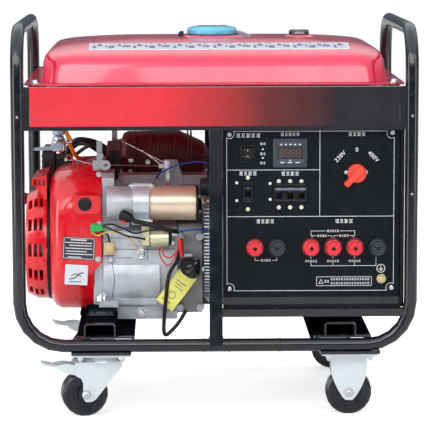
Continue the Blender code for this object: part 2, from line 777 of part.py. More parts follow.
def make_end_bell(material):
    profile = [(ALTERNATOR_R, 0.1903), (ALTERNATOR_R, 0.2250), (0.098, 0.2450), (SHAFT_BORE_R, 0.2450)]
    profile += [(SHAFT_BORE_R, 0.2380), (0.090, 0.2380), (0.104, 0.2230), (0.104, 0.1903)]
    bell = turned(profile, (0, 0, CRANK_Z), (1, 0, 0), 20, hollow=True)
    x = (ALTERNATOR_MOUNT_X - 0.0225, ALTERNATOR_MOUNT_X + 0.0225)
    feet = [block(x, span(s, 0.066, MOUNT_Y + 0.018), (MOUNT_TOP + GAP, 0.190)) for s in (-1, 1)]
    webs = [block((x[0] + 0.010, x[1] - 0.010), span(s, 0.068, 0.108), (0.185, 0.245)) for s in (-1, 1)]
    hollow = rod((0.180, 0, CRANK_Z), (0.2230, 0, CRANK_Z), 0.1035, 20)
    return piece("end_bell", cut(join(bell, *feet, *webs), hollow), material)


# ---------------------------------------------------------------- control box

def make_control_box(material):
    """A sheet box, open to the front behind the panel."""
    wall = 0.002
    back = -0.1200
    front = PANEL_FRONT + PANEL_THICK + GAP
    bottom = 0.1935
    outside = block(PANEL_X, (front, back), (bottom, PANEL_Z[1] - 0.0005))
    x = (PANEL_X[0] + wall, PANEL_X[1] - wall)
    inside = block(x, (front - 0.01, back - wall), (PANEL_Z[0] + wall, PANEL_Z[1] - wall))
    vents = []
    for k in range(6):
        z = 0.300 + 0.022 * k
        vents.append(block((PANEL_X[1] - 0.01, PANEL_X[1] + 0.01), (-0.205, -0.150), (z, z + 0.007)))
    return piece("control_box", cut(outside, inside, gathered(vents)), material)


def make_panel(material):
    back = PANEL_FRONT + PANEL_THICK
    panel = block(PANEL_X, (PANEL_FRONT, back), PANEL_Z)

    def window(centre_x, centre_z, half_x, half_z):
        x = (centre_x - half_x, centre_x + half_x)
        return block(x, (PANEL_FRONT - 0.01, back + 0.01), (centre_z - half_z, centre_z + half_z))

    def hole(x, z, radius):
        return rod((x, PANEL_FRONT - 0.01, z), (x, back + 0.01, z), radius, 12)

    holes = [
        window(ROCKER_X, ROCKER_Z, 0.0115, 0.0135),
        window(METER_X, METER_Z, 0.0270, 0.0230),
        window(SINGLE_X, SINGLE_Z, 0.0096, 0.0190),
        window(TRIPLE_X, TRIPLE_Z, 0.0296, 0.0170),
        hole(KNOB_X, KNOB_Z, 0.0055),
        hole(GROUND_X, GROUND_Z, 0.0035),
    ]
    holes += [hole(x, NUT_Z, 0.0062) for x in NUT_X]
    return piece("control_panel", cut(panel, gathered(holes)), material)


def framed(centre_x, centre_z, half_x, half_z, front, radius, steps=2):
    """A ring of outline points in a plane parallel to the panel."""
    low = (centre_x - half_x, centre_z - half_z)
    high = (centre_x + half_x, centre_z + half_z)
    return [(x, front, z) for x, z in rounded_rectangle(low, high, radius, steps)]


def make_rocker_bezel(material):
    front = PANEL_FRONT
    rings = [
        framed(ROCKER_X, ROCKER_Z, 0.0112, 0.0132, front + 0.016, 0.001),
        framed(ROCKER_X, ROCKER_Z, 0.0112, 0.0132, front - GAP, 0.001),
        framed(ROCKER_X, ROCKER_Z, 0.0134, 0.0152, front - GAP, 0.002),
        framed(ROCKER_X, ROCKER_Z, 0.0130, 0.0148, front - 0.0025, 0.002),
    ]
    body = loft(rings)
    well_x = (ROCKER_X - 0.0092, ROCKER_X + 0.0092)
    well_z = (ROCKER_Z - 0.0118, ROCKER_Z + 0.0118)
    well = block(well_x, (front - 0.01, front + 0.012), well_z)
    return piece("rocker_bezel", cut(body, well), material)


def make_rocker(material):
    """A rocker with a shallow V face, turning on a pin across its middle."""
    pivot = (ROCKER_X, PANEL_FRONT + 0.004, ROCKER_Z)
    outline = [(-0.0030, 0.0085), (0.0060, 0.0040), (0.0060, -0.0040), (-0.0030, -0.0085)]
    outline += [(-0.0076, -0.0100), (-0.0060, 0), (-0.0076, 0.0100)]
    points = [(pivot[1] + y, pivot[2] + z) for y, z in outline]
    rocker = prism(points, "x", ROCKER_X - 0.0088, ROCKER_X + 0.0088)
    return piece("engine_rocker", rocker, material, pivot)


def make_meter(material):
    front = PANEL_FRONT
    rings = [
        framed(METER_X, METER_Z, 0.0265, 0.0225, front + 0.030, 0.002),
        framed(METER_X, METER_Z, 0.0265, 0.0225, front - GAP, 0.002),
        framed(METER_X, METER_Z, 0.0295, 0.0255, front - GAP, 0.003),
        framed(METER_X, METER_Z, 0.0295, 0.0255, front - 0.0035, 0.003),
        framed(METER_X, METER_Z, 0.0275, 0.0235, front - 0.0055, 0.003),
    ]
    body = loft(rings)
    x = (METER_X - 0.0235, METER_X + 0.0235)
    recess = block(x, (front - 0.01, front - 0.0030), (METER_Z - 0.0195, METER_Z + 0.0195))
    return piece("digital_meter", cut(body, recess), material)


def breaker_body(centre_x, centre_z, half_x, half_z, lever_xs):
    front = PANEL_FRONT
    body_x = (centre_x - half_x, centre_x + half_x)
    body_z = (centre_z - half_z, centre_z + half_z)
    body = block(body_x, (front - 0.003, front + 0.045), body_z)
    well_z = (centre_z - 0.0105, centre_z + 0.0105)
    wells = [block((x - 0.0052, x + 0.0052), (front - 0.01, front + 0.0160), well_z) for x in lever_xs]
    return cut(body, gathered(wells))


def toggle_lever(x, z):
    """One breaker lever, standing up from its pivot at the On position."""
    pivot_y = PANEL_FRONT + 0.0075
    outline = [(0.0060, -0.0030), (0.0060, 0.0035), (-0.0060, 0.0070), (-0.0165, 0.0092), (-0.0170, 0.0050)]
    outline += [(-0.0060, 0.0005)]
    return prism([(pivot_y + a, z + b) for a, b in outline], "x", x - 0.0042, x + 0.0042)


def make_breakers(body_material, lever_material):
    single = breaker_body(SINGLE_X, SINGLE_Z, 0.0092, 0.0186, [SINGLE_X])
    piece("breaker_single", single, body_material)
    pivot_y = PANEL_FRONT + 0.0075
    lever = toggle_lever(SINGLE_X, SINGLE_Z)
    piece("breaker_single_toggle", lever, lever_material, (SINGLE_X, pivot_y, SINGLE_Z))
    poles = [TRIPLE_X + POLE_PITCH * k for k in (-1, 0, 1)]
    triple = breaker_body(TRIPLE_X, TRIPLE_Z, 0.0292, 0.0166, poles)
    piece("breaker_triple", triple, body_material)
    levers = [toggle_lever(x, TRIPLE_Z) for x in poles]
    tie = block(
        (poles[0] - 0.0070, poles[2] + 0.0070),
        (PANEL_FRONT - 0.0085, PANEL_FRONT - 0.0045),
        (TRIPLE_Z + 0.0045, TRIPLE_Z + 0.0082),
    )
    piece("breaker_triple_toggle", join(tie, *levers), lever_material, (TRIPLE_X, pivot_y, TRIPLE_Z))


def make_knob(material):
    """Round knob with a pointer tail, set to the right-hand mark."""
    front = PANEL_FRONT - 0.0012
    profile = [(0, 0), (0.0168, 0), (0.0165, 0.006), (0.0150, 0.0078), (0, 0.0078)]
    disc = turned(profile, (KNOB_X, front, KNOB_Z), (0, -1, 0), 20)
    grip_outline = [(0.0140, -0.0045), (0.0140, 0.0045), (-0.0270, 0.0050), (-0.0285, 0.0035)]
    grip_outline += [(-0.0285, -0.0035), (-0.0270, -0.0050)]
    grip = prism(grip_outline, "z", 0.0005, 0.0150)
    turn = Matrix.Rotation(radians(90), 4, "X")
    aim = Matrix.Rotation(radians(-46), 4, "Y")
    moved(grip, Matrix.Translation((KNOB_X, front, KNOB_Z)) @ aim @ turn)
    spindle = rod((KNOB_X, front - 0.002, KNOB_Z), (KNOB_X, -0.215, KNOB_Z), 0.0035, 10)
    return piece("voltage_knob", join(disc, grip, spindle), material, (KNOB_X, front, KNOB_Z))


def make_terminal_board(material):
    """Insulating board behind the panel, with a sleeve, collar and stud for each output."""
    board = block((NUT_X[0] - 0.022, NUT_X[-1] + 0.022), (-0.2330, -0.2250), (NUT_Z - 0.020, NUT_Z + 0.020))
    posts = []
    for x in NUT_X:
        profile = [(0.0056, 0), (0.0056, 0.0068), (0.0168, 0.0068), (0.0160, 0.0122), (0.0030, 0.0122)]
        profile += [(0.0030, 0.0240)]
        posts.append(turned(profile, (x, -0.2313, NUT_Z), (0, -1, 0), 12))
    return piece("terminal_board", join(board, *posts), material)


def make_nut(name, x, material):
    """Binding-post nut: flared foot, barrel and a plug socket in its face."""
    back = COLLAR_FRONT - GAP
    profile = [(0.0034, 0), (0.0142, 0), (0.0140, 0.0035), (0.0118, 0.0050), (0.0116, 0.0178)]
    profile += [(0.0034, 0.0178)]
    nut = turned(profile, (x, back, NUT_Z), (0, -1, 0), 12, hollow=True)
    return piece(name, nut, material, (x, back, NUT_Z))


def make_ground_bolt(material):
    front = PANEL_FRONT - GAP
    profile = [(0, -0.016), (0.0030, -0.016), (0.0030, 0), (0.0082, 0), (0.0082, 0.0015)]
    washer = turned(profile + [(0, 0.0015)], (GROUND_X, front, GROUND_Z), (0, -1, 0), 16)
    head_profile = [(0.0066, 0.001), (0.0066, 0.0055), (0.0055, 0.0065)]
    head = turned(head_profile, (GROUND_X, front, GROUND_Z), (0, -1, 0), 6)
    return piece("ground_bolt", join(washer, head), material, (GROUND_X, front, GROUND_Z))


# ---------------------------------------------------------------- casters

def wheel_mesh():
    half = [(0.0045, 0.0175), (0.0130, 0.0175), (0.0145, 0.0115), (0.0350, 0.0150), (WHEEL_R, 0.0105)]
    profile = [(r, -y) for r, y in half] + [(r, y) for r, y in reversed(half)]
    return turned(profile, (0, 0, AXLE_Z), (0, 1, 0), WHEEL_SIDES, hollow=True)


def axle_pin(x):
    shank = rod((x, -0.0245, AXLE_Z), (x, 0.0245, AXLE_Z), 0.0040, 10)
    heads = [rod((x, y, AXLE_Z), (x, y + 0.0035, AXLE_Z), 0.0065, 6) for y in (-0.0250, 0.0215)]
    return join(shank, *heads)


def side_plates(outline):
    plates = [prism(outline, "y", *sorted((s * 0.0185, s * 0.0215))) for s in (-1, 1)]
    return plates


def swivel_fork():
    disc = turned([(0.0300, 0.0955), (0.0285, 0.0997)], (0, 0, 0), (0, 0, 1), 16)
    top = block((-0.0500, 0.0300), (-0.0200, 0.0200), (0.0930, 0.0965))
    outline = [(-0.0505, 0.0968), (0.0310, 0.0968), (0.0318, 0.0900), (0.0290, 0.0840), (-0.0155, 0.0300)]
    outline += [(-0.0230, 0.0262), (-0.0330, 0.0262), (-0.0375, 0.0330), (-0.0375, 0.0600), (-0.0410, 0.0680)]
    outline += [(-0.0505, 0.0735), (-0.0530, 0.0820)]
    return join(disc, top, *side_plates(outline), axle_pin(-TRAIL))


def swivel_plate():
    plate = loft([level(z, 0.0495, 0.0450, 0.008, 2) for z in (0.1085, PAD_Z[0] - GAP)])
    race = turned([(0.0290, 0.1000), (0.0310, 0.1030), (0.0270, 0.1090)], (0, 0, 0), (0, 0, 1), 16)
    return join(plate, race)


def brake_pedal():
    outline = [(-0.1070, 0.0975), (-0.0950, 0.0940), (-0.0750, 0.0905), (-0.0560, 0.0918), (-0.0462, 0.0905)]
    outline += [(-0.0440, 0.0870), (-0.0480, 0.0840), (-0.0560, 0.0830), (-0.0660, 0.0780), (-0.0690, 0.0800)]
    outline += [(-0.0640, 0.0865), (-0.0750, 0.0870), (-0.0950, 0.0900), (-0.1075, 0.0935)]
    return prism(outline, "y", -0.0165, 0.0165)


def make_swivel_caster(tag, side, zinc, tyre):
    yaw = Matrix.Rotation(radians(SWIVEL_YAW), 4, "Z")
    place = Matrix.Translation((SWIVEL_X, side * CASTER_Y, 0))
    turned_place = place @ yaw
    axis_foot = place @ Vector((0, 0, 0.0980))
    piece("caster_plate_" + tag, moved(swivel_plate(), place), zinc)
    piece("caster_fork_" + tag, moved(swivel_fork(), turned_place), zinc, axis_foot)
    hub = turned_place @ Vector((-TRAIL, 0, AXLE_Z))
    wheel = moved(wheel_mesh(), turned_place @ Matrix.Translation((-TRAIL, 0, 0)))
    piece("caster_wheel_" + tag, wheel, tyre, hub)
    pedal = moved(brake_pedal(), turned_place)
    piece("caster_brake_" + tag, pedal, zinc, turned_place @ Vector(PEDAL_PIVOT))


def rigid_fork():
    plate = loft([level(z, 0.0495, 0.0450, 0.008, 2) for z in (0.1085, PAD_Z[0] - GAP)])
    top = block((-0.0330, 0.0330), (-0.0200, 0.0200), (0.1050, 0.1095))
    half = [(0.0330, 0.1090), (0.0320, 0.1000), (0.0308, 0.0720), (0.0240, 0.0540), (0.0180, 0.0420)]
    half += [(0.0110, 0.0310), (0.0060, 0.0262)]
    outline = [(-x, z) for x, z in half] + [(x, z) for x, z in reversed(half)]
    return join(plate, top, *side_plates(outline), axle_pin(0))


def make_rigid_caster(tag, side, zinc, tyre):
    place = Matrix.Translation((RIGID_X, side * CASTER_Y, 0))
    piece("caster_fork_" + tag, moved(rigid_fork(), place), zinc)
    piece("caster_wheel_" + tag, moved(wheel_mesh(), place), tyre, (RIGID_X, side * CASTER_Y, AXLE_Z))


# ---------------------------------------------------------------- assembly

def clear_scene():
    for obj in list(bpy.data.objects):
        bpy.data.objects.remove(obj)


def main():
    clear_scene()
    black = surface("frame_black", (0.012, 0.013, 0.016), 0.22)
    red = surface("red_enamel", (0.62, 0.012, 0.022), 0.16)
    panel_black = surface("panel_black", (0.018, 0.019, 0.022), 0.42)
    rubber = surface("rubber", (0.020, 0.020, 0.021), 0.75)
    tyre = surface("wheel_black", (0.022, 0.022, 0.023), 0.55)
    zinc = surface("zinc_plate", (0.72, 0.75, 0.78), 0.28, 1.0)
    cast = surface("cast_aluminium", (0.62, 0.63, 0.64), 0.48, 0.9)
    steel = surface("plated_steel", (0.70, 0.70, 0.72), 0.30, 1.0)
    iron = surface("core_steel", (0.20, 0.21, 0.21), 0.50, 0.8)
    yellow_zinc = surface("yellow_zinc", (0.80, 0.58, 0.30), 0.28, 1.0)
    dark_red = surface("muffler_brown", (0.070, 0.014, 0.014), 0.38, 0.3)
    blue = surface("cap_blue", (0.10, 0.48, 0.80), 0.18)
    plastic = surface("black_plastic", (0.016, 0.016, 0.018), 0.40)
    grey_plastic = surface("grey_plastic", (0.060, 0.063, 0.068), 0.42)
    knob_red = surface("knob_red", (0.82, 0.085, 0.035), 0.35)
    nut_red = surface("terminal_red", (0.62, 0.020, 0.025), 0.30)
    brass = surface("brass", (0.78, 0.57, 0.25), 0.30, 1.0)

    make_frame(black)
    make_front_band(red)
    make_tank(red)
    make_cap(blue)
    make_gauge(plastic)
    make_fuel_tap(steel)
    make_tap_lever(grey_plastic)

    make_crankcase(cast)
    make_cover(cast)
    make_dipstick(plastic)
    make_head(cast)
    make_shroud(red)
    make_recoil(red)
    make_grip(plastic)
    make_flywheel(iron)
    make_crankshaft(steel)
    make_starter(yellow_zinc)
    make_solenoid(yellow_zinc)
    make_muffler(dark_red)
    make_air_cleaner(plastic)
    make_carburettor(cast)
    make_governor_arm(steel)
    make_throttle_lever(steel)

    make_adapter(cast)
    make_stator(iron)
    make_end_bell(cast)
    for tag, x in (("engine", ENGINE_MOUNT_X), ("alternator", ALTERNATOR_MOUNT_X)):
        make_rubber_mount(tag + "_mount_front", x, -1, rubber)
        make_rubber_mount(tag + "_mount_rear", x, 1, rubber)

    make_control_box(black)
    make_panel(panel_black)
    make_rocker_bezel(plastic)
    make_rocker(plastic)
    make_meter(grey_plastic)
    make_breakers(grey_plastic, plastic)
    make_knob(knob_red)
    make_terminal_board(plastic)
    for name, x in zip(NUT_NAMES, NUT_X):
        make_nut("nut_" + name, x, plastic if name.endswith(("neutral", "_n")) else nut_red)
    make_ground_bolt(brass)

    make_swivel_caster("front_left", -1, zinc, tyre)
    make_swivel_caster("rear_left", 1, zinc, tyre)
    make_rigid_caster("front_right", -1, zinc, tyre)
    make_rigid_caster("rear_right", 1, zinc, tyre)


main()
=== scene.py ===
import json
from math import cos, pi, radians, sin, sqrt

import bmesh
import bpy
from mathutils import Matrix, Vector

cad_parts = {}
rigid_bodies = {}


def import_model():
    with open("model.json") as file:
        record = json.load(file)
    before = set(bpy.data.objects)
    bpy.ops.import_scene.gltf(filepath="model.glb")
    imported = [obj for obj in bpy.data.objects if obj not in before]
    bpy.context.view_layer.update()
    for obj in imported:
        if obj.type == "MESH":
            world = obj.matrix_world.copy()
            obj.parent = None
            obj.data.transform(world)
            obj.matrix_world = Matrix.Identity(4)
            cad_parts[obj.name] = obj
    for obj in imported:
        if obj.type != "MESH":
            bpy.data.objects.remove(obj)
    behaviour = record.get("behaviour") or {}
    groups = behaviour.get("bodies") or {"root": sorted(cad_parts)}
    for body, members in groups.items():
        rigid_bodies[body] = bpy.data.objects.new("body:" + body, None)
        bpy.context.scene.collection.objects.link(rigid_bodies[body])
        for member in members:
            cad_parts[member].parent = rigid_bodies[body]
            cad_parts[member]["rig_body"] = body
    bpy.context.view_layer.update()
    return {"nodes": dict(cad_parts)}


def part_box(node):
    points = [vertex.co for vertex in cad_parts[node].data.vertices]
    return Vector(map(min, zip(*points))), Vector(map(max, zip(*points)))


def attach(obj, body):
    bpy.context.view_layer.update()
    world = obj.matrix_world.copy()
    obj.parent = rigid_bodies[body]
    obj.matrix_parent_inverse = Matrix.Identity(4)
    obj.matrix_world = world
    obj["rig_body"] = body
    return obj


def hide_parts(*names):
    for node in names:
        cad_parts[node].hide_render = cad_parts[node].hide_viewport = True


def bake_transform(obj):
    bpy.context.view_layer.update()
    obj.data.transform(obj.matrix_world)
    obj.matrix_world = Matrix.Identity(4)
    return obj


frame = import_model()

# Open-frame petrol generator. The machine's lengths are in millimetres and become metres through MM.
# The lamps, the camera and the floor are in metres.
MM = 0.001

RIGHT = (1, 0, 0)
LEFT = (-1, 0, 0)
BACK = (0, 1, 0)
FRONT = (0, -1, 0)
UP = (0, 0, 1)
DOWN = (0, 0, -1)
CRANK_Z = 278.0
RECOIL_Z = 274.0
CASTER_YAW = radians(12)


class Place:
    """The box of a CAD node at rest, in millimetres."""

    def __init__(self, node):
        low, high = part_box(node)
        self.x0, self.y0, self.z0 = (value / MM for value in low)
        self.x1, self.y1, self.z1 = (value / MM for value in high)
        self.x = (self.x0 + self.x1) / 2
        self.y = (self.y0 + self.y1) / 2
        self.z = (self.z0 + self.z1) / 2


AT = {name: Place(name) for name in frame["nodes"]}


# ---------------------------------------------------------------- materials

LOOKS = {}


def linear(rgb):
    """A 0-255 display colour as linear light."""
    values = [channel / 255 for channel in rgb]
    return tuple(v / 12.92 if v <= 0.04045 else ((v + 0.055) / 1.055) ** 2.4 for v in values)


class Nodes:
    """Makes and wires the nodes of one tree."""

    def __init__(self, tree):
        self.tree = tree

    def node(self, kind, **settings):
        made = self.tree.nodes.new(kind)
        for key, value in settings.items():
            setattr(made, key, value)
        return made

    def feed(self, socket, value):
        """Links a node's output to the socket, or sets the socket's value."""
        if hasattr(value, "is_output"):
            self.tree.links.new(value, socket)
        else:
            socket.default_value = value


class Shader(Nodes):
    """The nodes of one material."""

    def __init__(self, name):
        self.material = bpy.data.materials.new(name)
        self.material.use_nodes = True
        super().__init__(self.material.node_tree)
        self.principled = self.tree.nodes["Principled BSDF"]
        self.coordinates = self.node("ShaderNodeTexCoord").outputs["Object"]

    def noise(self, size, detail=3.0, stretch=(1, 1, 1), roughness=0.5):
        """Noise with features about size millimetres across."""
        mapping = self.node("ShaderNodeMapping")
        mapping.inputs["Scale"].default_value = stretch
        self.feed(mapping.inputs["Vector"], self.coordinates)
        noise = self.node("ShaderNodeTexNoise")
        noise.inputs["Scale"].default_value = 1 / (size * MM)
        noise.inputs["Detail"].default_value = detail
        noise.inputs["Roughness"].default_value = roughness
        self.feed(noise.inputs["Vector"], mapping.outputs["Vector"])
        return noise.outputs["Fac"]

    def ranged(self, value, low, high, to_low, to_high):
        remap = self.node("ShaderNodeMapRange")
        self.feed(remap.inputs["Value"], value)
        remap.inputs["From Min"].default_value = low
        remap.inputs["From Max"].default_value = high
        remap.inputs["To Min"].default_value = to_low
        remap.inputs["To Max"].default_value = to_high
        return remap.outputs["Result"]

    def maths(self, operation, a, b=0.0):
        made = self.node("ShaderNodeMath", operation=operation)
        self.feed(made.inputs[0], a)
        self.feed(made.inputs[1], b)
        return made.outputs[0]

    def mixed(self, factor, a, b):
        mix = self.node("ShaderNodeMix", data_type="RGBA")
        self.feed(mix.inputs["Factor"], factor)
        for socket, value in ((mix.inputs["A"], a), (mix.inputs["B"], b)):
            self.feed(socket, value if hasattr(value, "is_output") else (*value, 1.0))
        return mix.outputs["Result"]

    def axis(self, which):
        split = self.node("ShaderNodeSeparateXYZ")
        self.feed(split.inputs[0], self.coordinates)
        return split.outputs[which]


def look(name, slot, rgb, rough=0.4, metal=0.0, coat=0.0, mottle=0.08, size=30, spread=0.12, grain=0.15,
         grain_size=0.8, stretch=(1, 1, 1), wear=0.0, wear_rgb=(190, 190, 190), edge=0.5, base=None, glow=0.0,
         dust=0.0, shine=0.5):
    """A finish with colour variation, uneven gloss, surface grain and softened, worn edges."""
    s = Shader(name)
    colour = linear(rgb)
    drift = s.noise(size, 4.0, stretch)
    dark = tuple(c * (1 - mottle) for c in colour)
    light = tuple(min(1.0, c * (1 + mottle) + 0.002) for c in colour)
    tint = s.mixed(s.ranged(drift, 0.3, 0.7, 0.0, 1.0), dark, light)
    if base:
        tint = base(s, tint)
    rounded = s.node("ShaderNodeBevel", samples=4)
    rounded.inputs["Radius"].default_value = edge * MM
    if dust:
        lying = s.noise(18, 5.0)
        cover = s.maths("MULTIPLY", s.ranged(lying, 0.45, 0.75, 0.0, 1.0), dust)
        tint = s.mixed(cover, tint, linear((150, 140, 128)))
    if wear:
        flat = s.node("ShaderNodeNewGeometry").outputs["Normal"]
        agree = s.node("ShaderNodeVectorMath", operation="DOT_PRODUCT")
        s.feed(agree.inputs[0], rounded.outputs["Normal"])
        s.feed(agree.inputs[1], flat)
        edges = s.ranged(agree.outputs["Value"], 0.80, 0.99, 1.0, 0.0)
        chips = s.ranged(s.noise(3.0, 5.0), 0.42, 0.62, 0.0, 1.0)
        worn = s.maths("MULTIPLY", s.maths("MULTIPLY", edges, chips), wear)
        tint = s.mixed(worn, tint, linear(wear_rgb))
    s.feed(s.principled.inputs["Base Color"], tint)
    gloss = s.ranged(s.noise(size * 0.6, 5.0, stretch), 0.3, 0.7, max(0.02, rough - spread), rough + spread)
    s.feed(s.principled.inputs["Roughness"], gloss)
    s.principled.inputs["Metallic"].default_value = metal
    s.principled.inputs["Specular IOR Level"].default_value = shine
    s.principled.inputs["Coat Weight"].default_value = coat
    s.principled.inputs["Coat Roughness"].default_value = 0.06
    bump = s.node("ShaderNodeBump")
    bump.inputs["Strength"].default_value = grain
    bump.inputs["Distance"].default_value = 0.15 * MM
    s.feed(bump.inputs["Height"], s.noise(grain_size, 4.0, stretch))
    s.feed(bump.inputs["Normal"], rounded.outputs["Normal"])
    s.feed(s.principled.inputs["Normal"], bump.outputs["Normal"])
    s.feed(s.principled.inputs["Coat Normal"], rounded.outputs["Normal"])
    # A glow is emission on a part that is no lamp: painted light.
    if glow:
        s.principled.inputs["Emission Color"].default_value = (*colour, 1.0)
        s.principled.inputs["Emission Strength"].default_value = glow
    LOOKS[name] = (s.material, slot)
    return s


def band_fade(s, tint):
    """Red at the left end of the band, fading through brown to black at the right."""
    band = AT["front_band"]
    length = band.x1 - band.x0
    start = (band.x0 + length * 0.36) * MM
    stop = (band.x0 + length * 0.84) * MM
    uneven = s.maths("ADD", s.axis("X"), s.ranged(s.noise(60, 3.0), 0.3, 0.7, -8 * MM, 8 * MM))
    across = s.ranged(uneven, start, stop, 0.0, 1.0)
    brown = s.mixed(s.ranged(across, 0.0, 0.55, 0.0, 1.0), tint, linear((116, 44, 40)))
    return s.mixed(s.ranged(across, 0.45, 1.0, 0.0, 1.0), brown, linear((32, 31, 40)))


def casting_stain(s, tint):
    """Dull grey-brown oil staining in patches on the castings."""
    patches = s.ranged(s.noise(55, 5.0), 0.50, 0.72, 0.0, 0.45)
    return s.mixed(patches, tint, linear((112, 108, 104)))


def heat_tint(s, tint):
    """Rusty bloom on the exhaust steel."""
    patches = s.ranged(s.noise(22, 6.0), 0.48, 0.70, 0.0, 0.4)
    return s.mixed(patches, tint, linear((74, 30, 30)))


def bichromate(s, tint):
    """The pink and green bloom of yellow passivated zinc."""
    pink = s.ranged(s.noise(26, 2.0, (0.35, 1, 1)), 0.45, 0.68, 0.0, 0.45)
    green = s.ranged(s.noise(33, 2.0, (0.4, 1, 1)), 0.52, 0.72, 0.0, 0.3)
    return s.mixed(green, s.mixed(pink, tint, linear((236, 190, 176))), linear((206, 208, 160)))


def paper_print(s, tint):
    """Smudges and faint yellowing on a paper label."""
    return s.mixed(s.ranged(s.noise(9, 5.0), 0.45, 0.75, 0.0, 0.25), tint, linear((214, 206, 186)))


def dull_cradle(s):
    """Flat paint on the cradle channels inside the frame, gloss on the tubes round them."""
    half_length, half_depth, top = 296, 238, 180
    inside_x = s.ranged(s.maths("ABSOLUTE", s.axis("X")), half_length * MM, (half_length + 4) * MM, 1.0, 0.0)
    inside_y = s.ranged(s.maths("ABSOLUTE", s.axis("Y")), half_depth * MM, (half_depth + 3) * MM, 1.0, 0.0)
    low = s.ranged(s.axis("Z"), top * MM, (top + 2) * MM, 1.0, 0.0)
    cradle = s.maths("MULTIPLY", s.maths("MULTIPLY", inside_x, inside_y), low)
    s.feed(s.principled.inputs["Coat Weight"], s.ranged(cradle, 0.0, 1.0, 0.5, 0.0))
    s.feed(s.principled.inputs["Specular IOR Level"], s.ranged(cradle, 0.0, 1.0, 0.35, 0.0))
    gloss = s.principled.inputs["Roughness"].links[0].from_socket
    s.feed(s.principled.inputs["Roughness"], s.maths("MAXIMUM", gloss, s.maths("MULTIPLY", cradle, 0.9)))


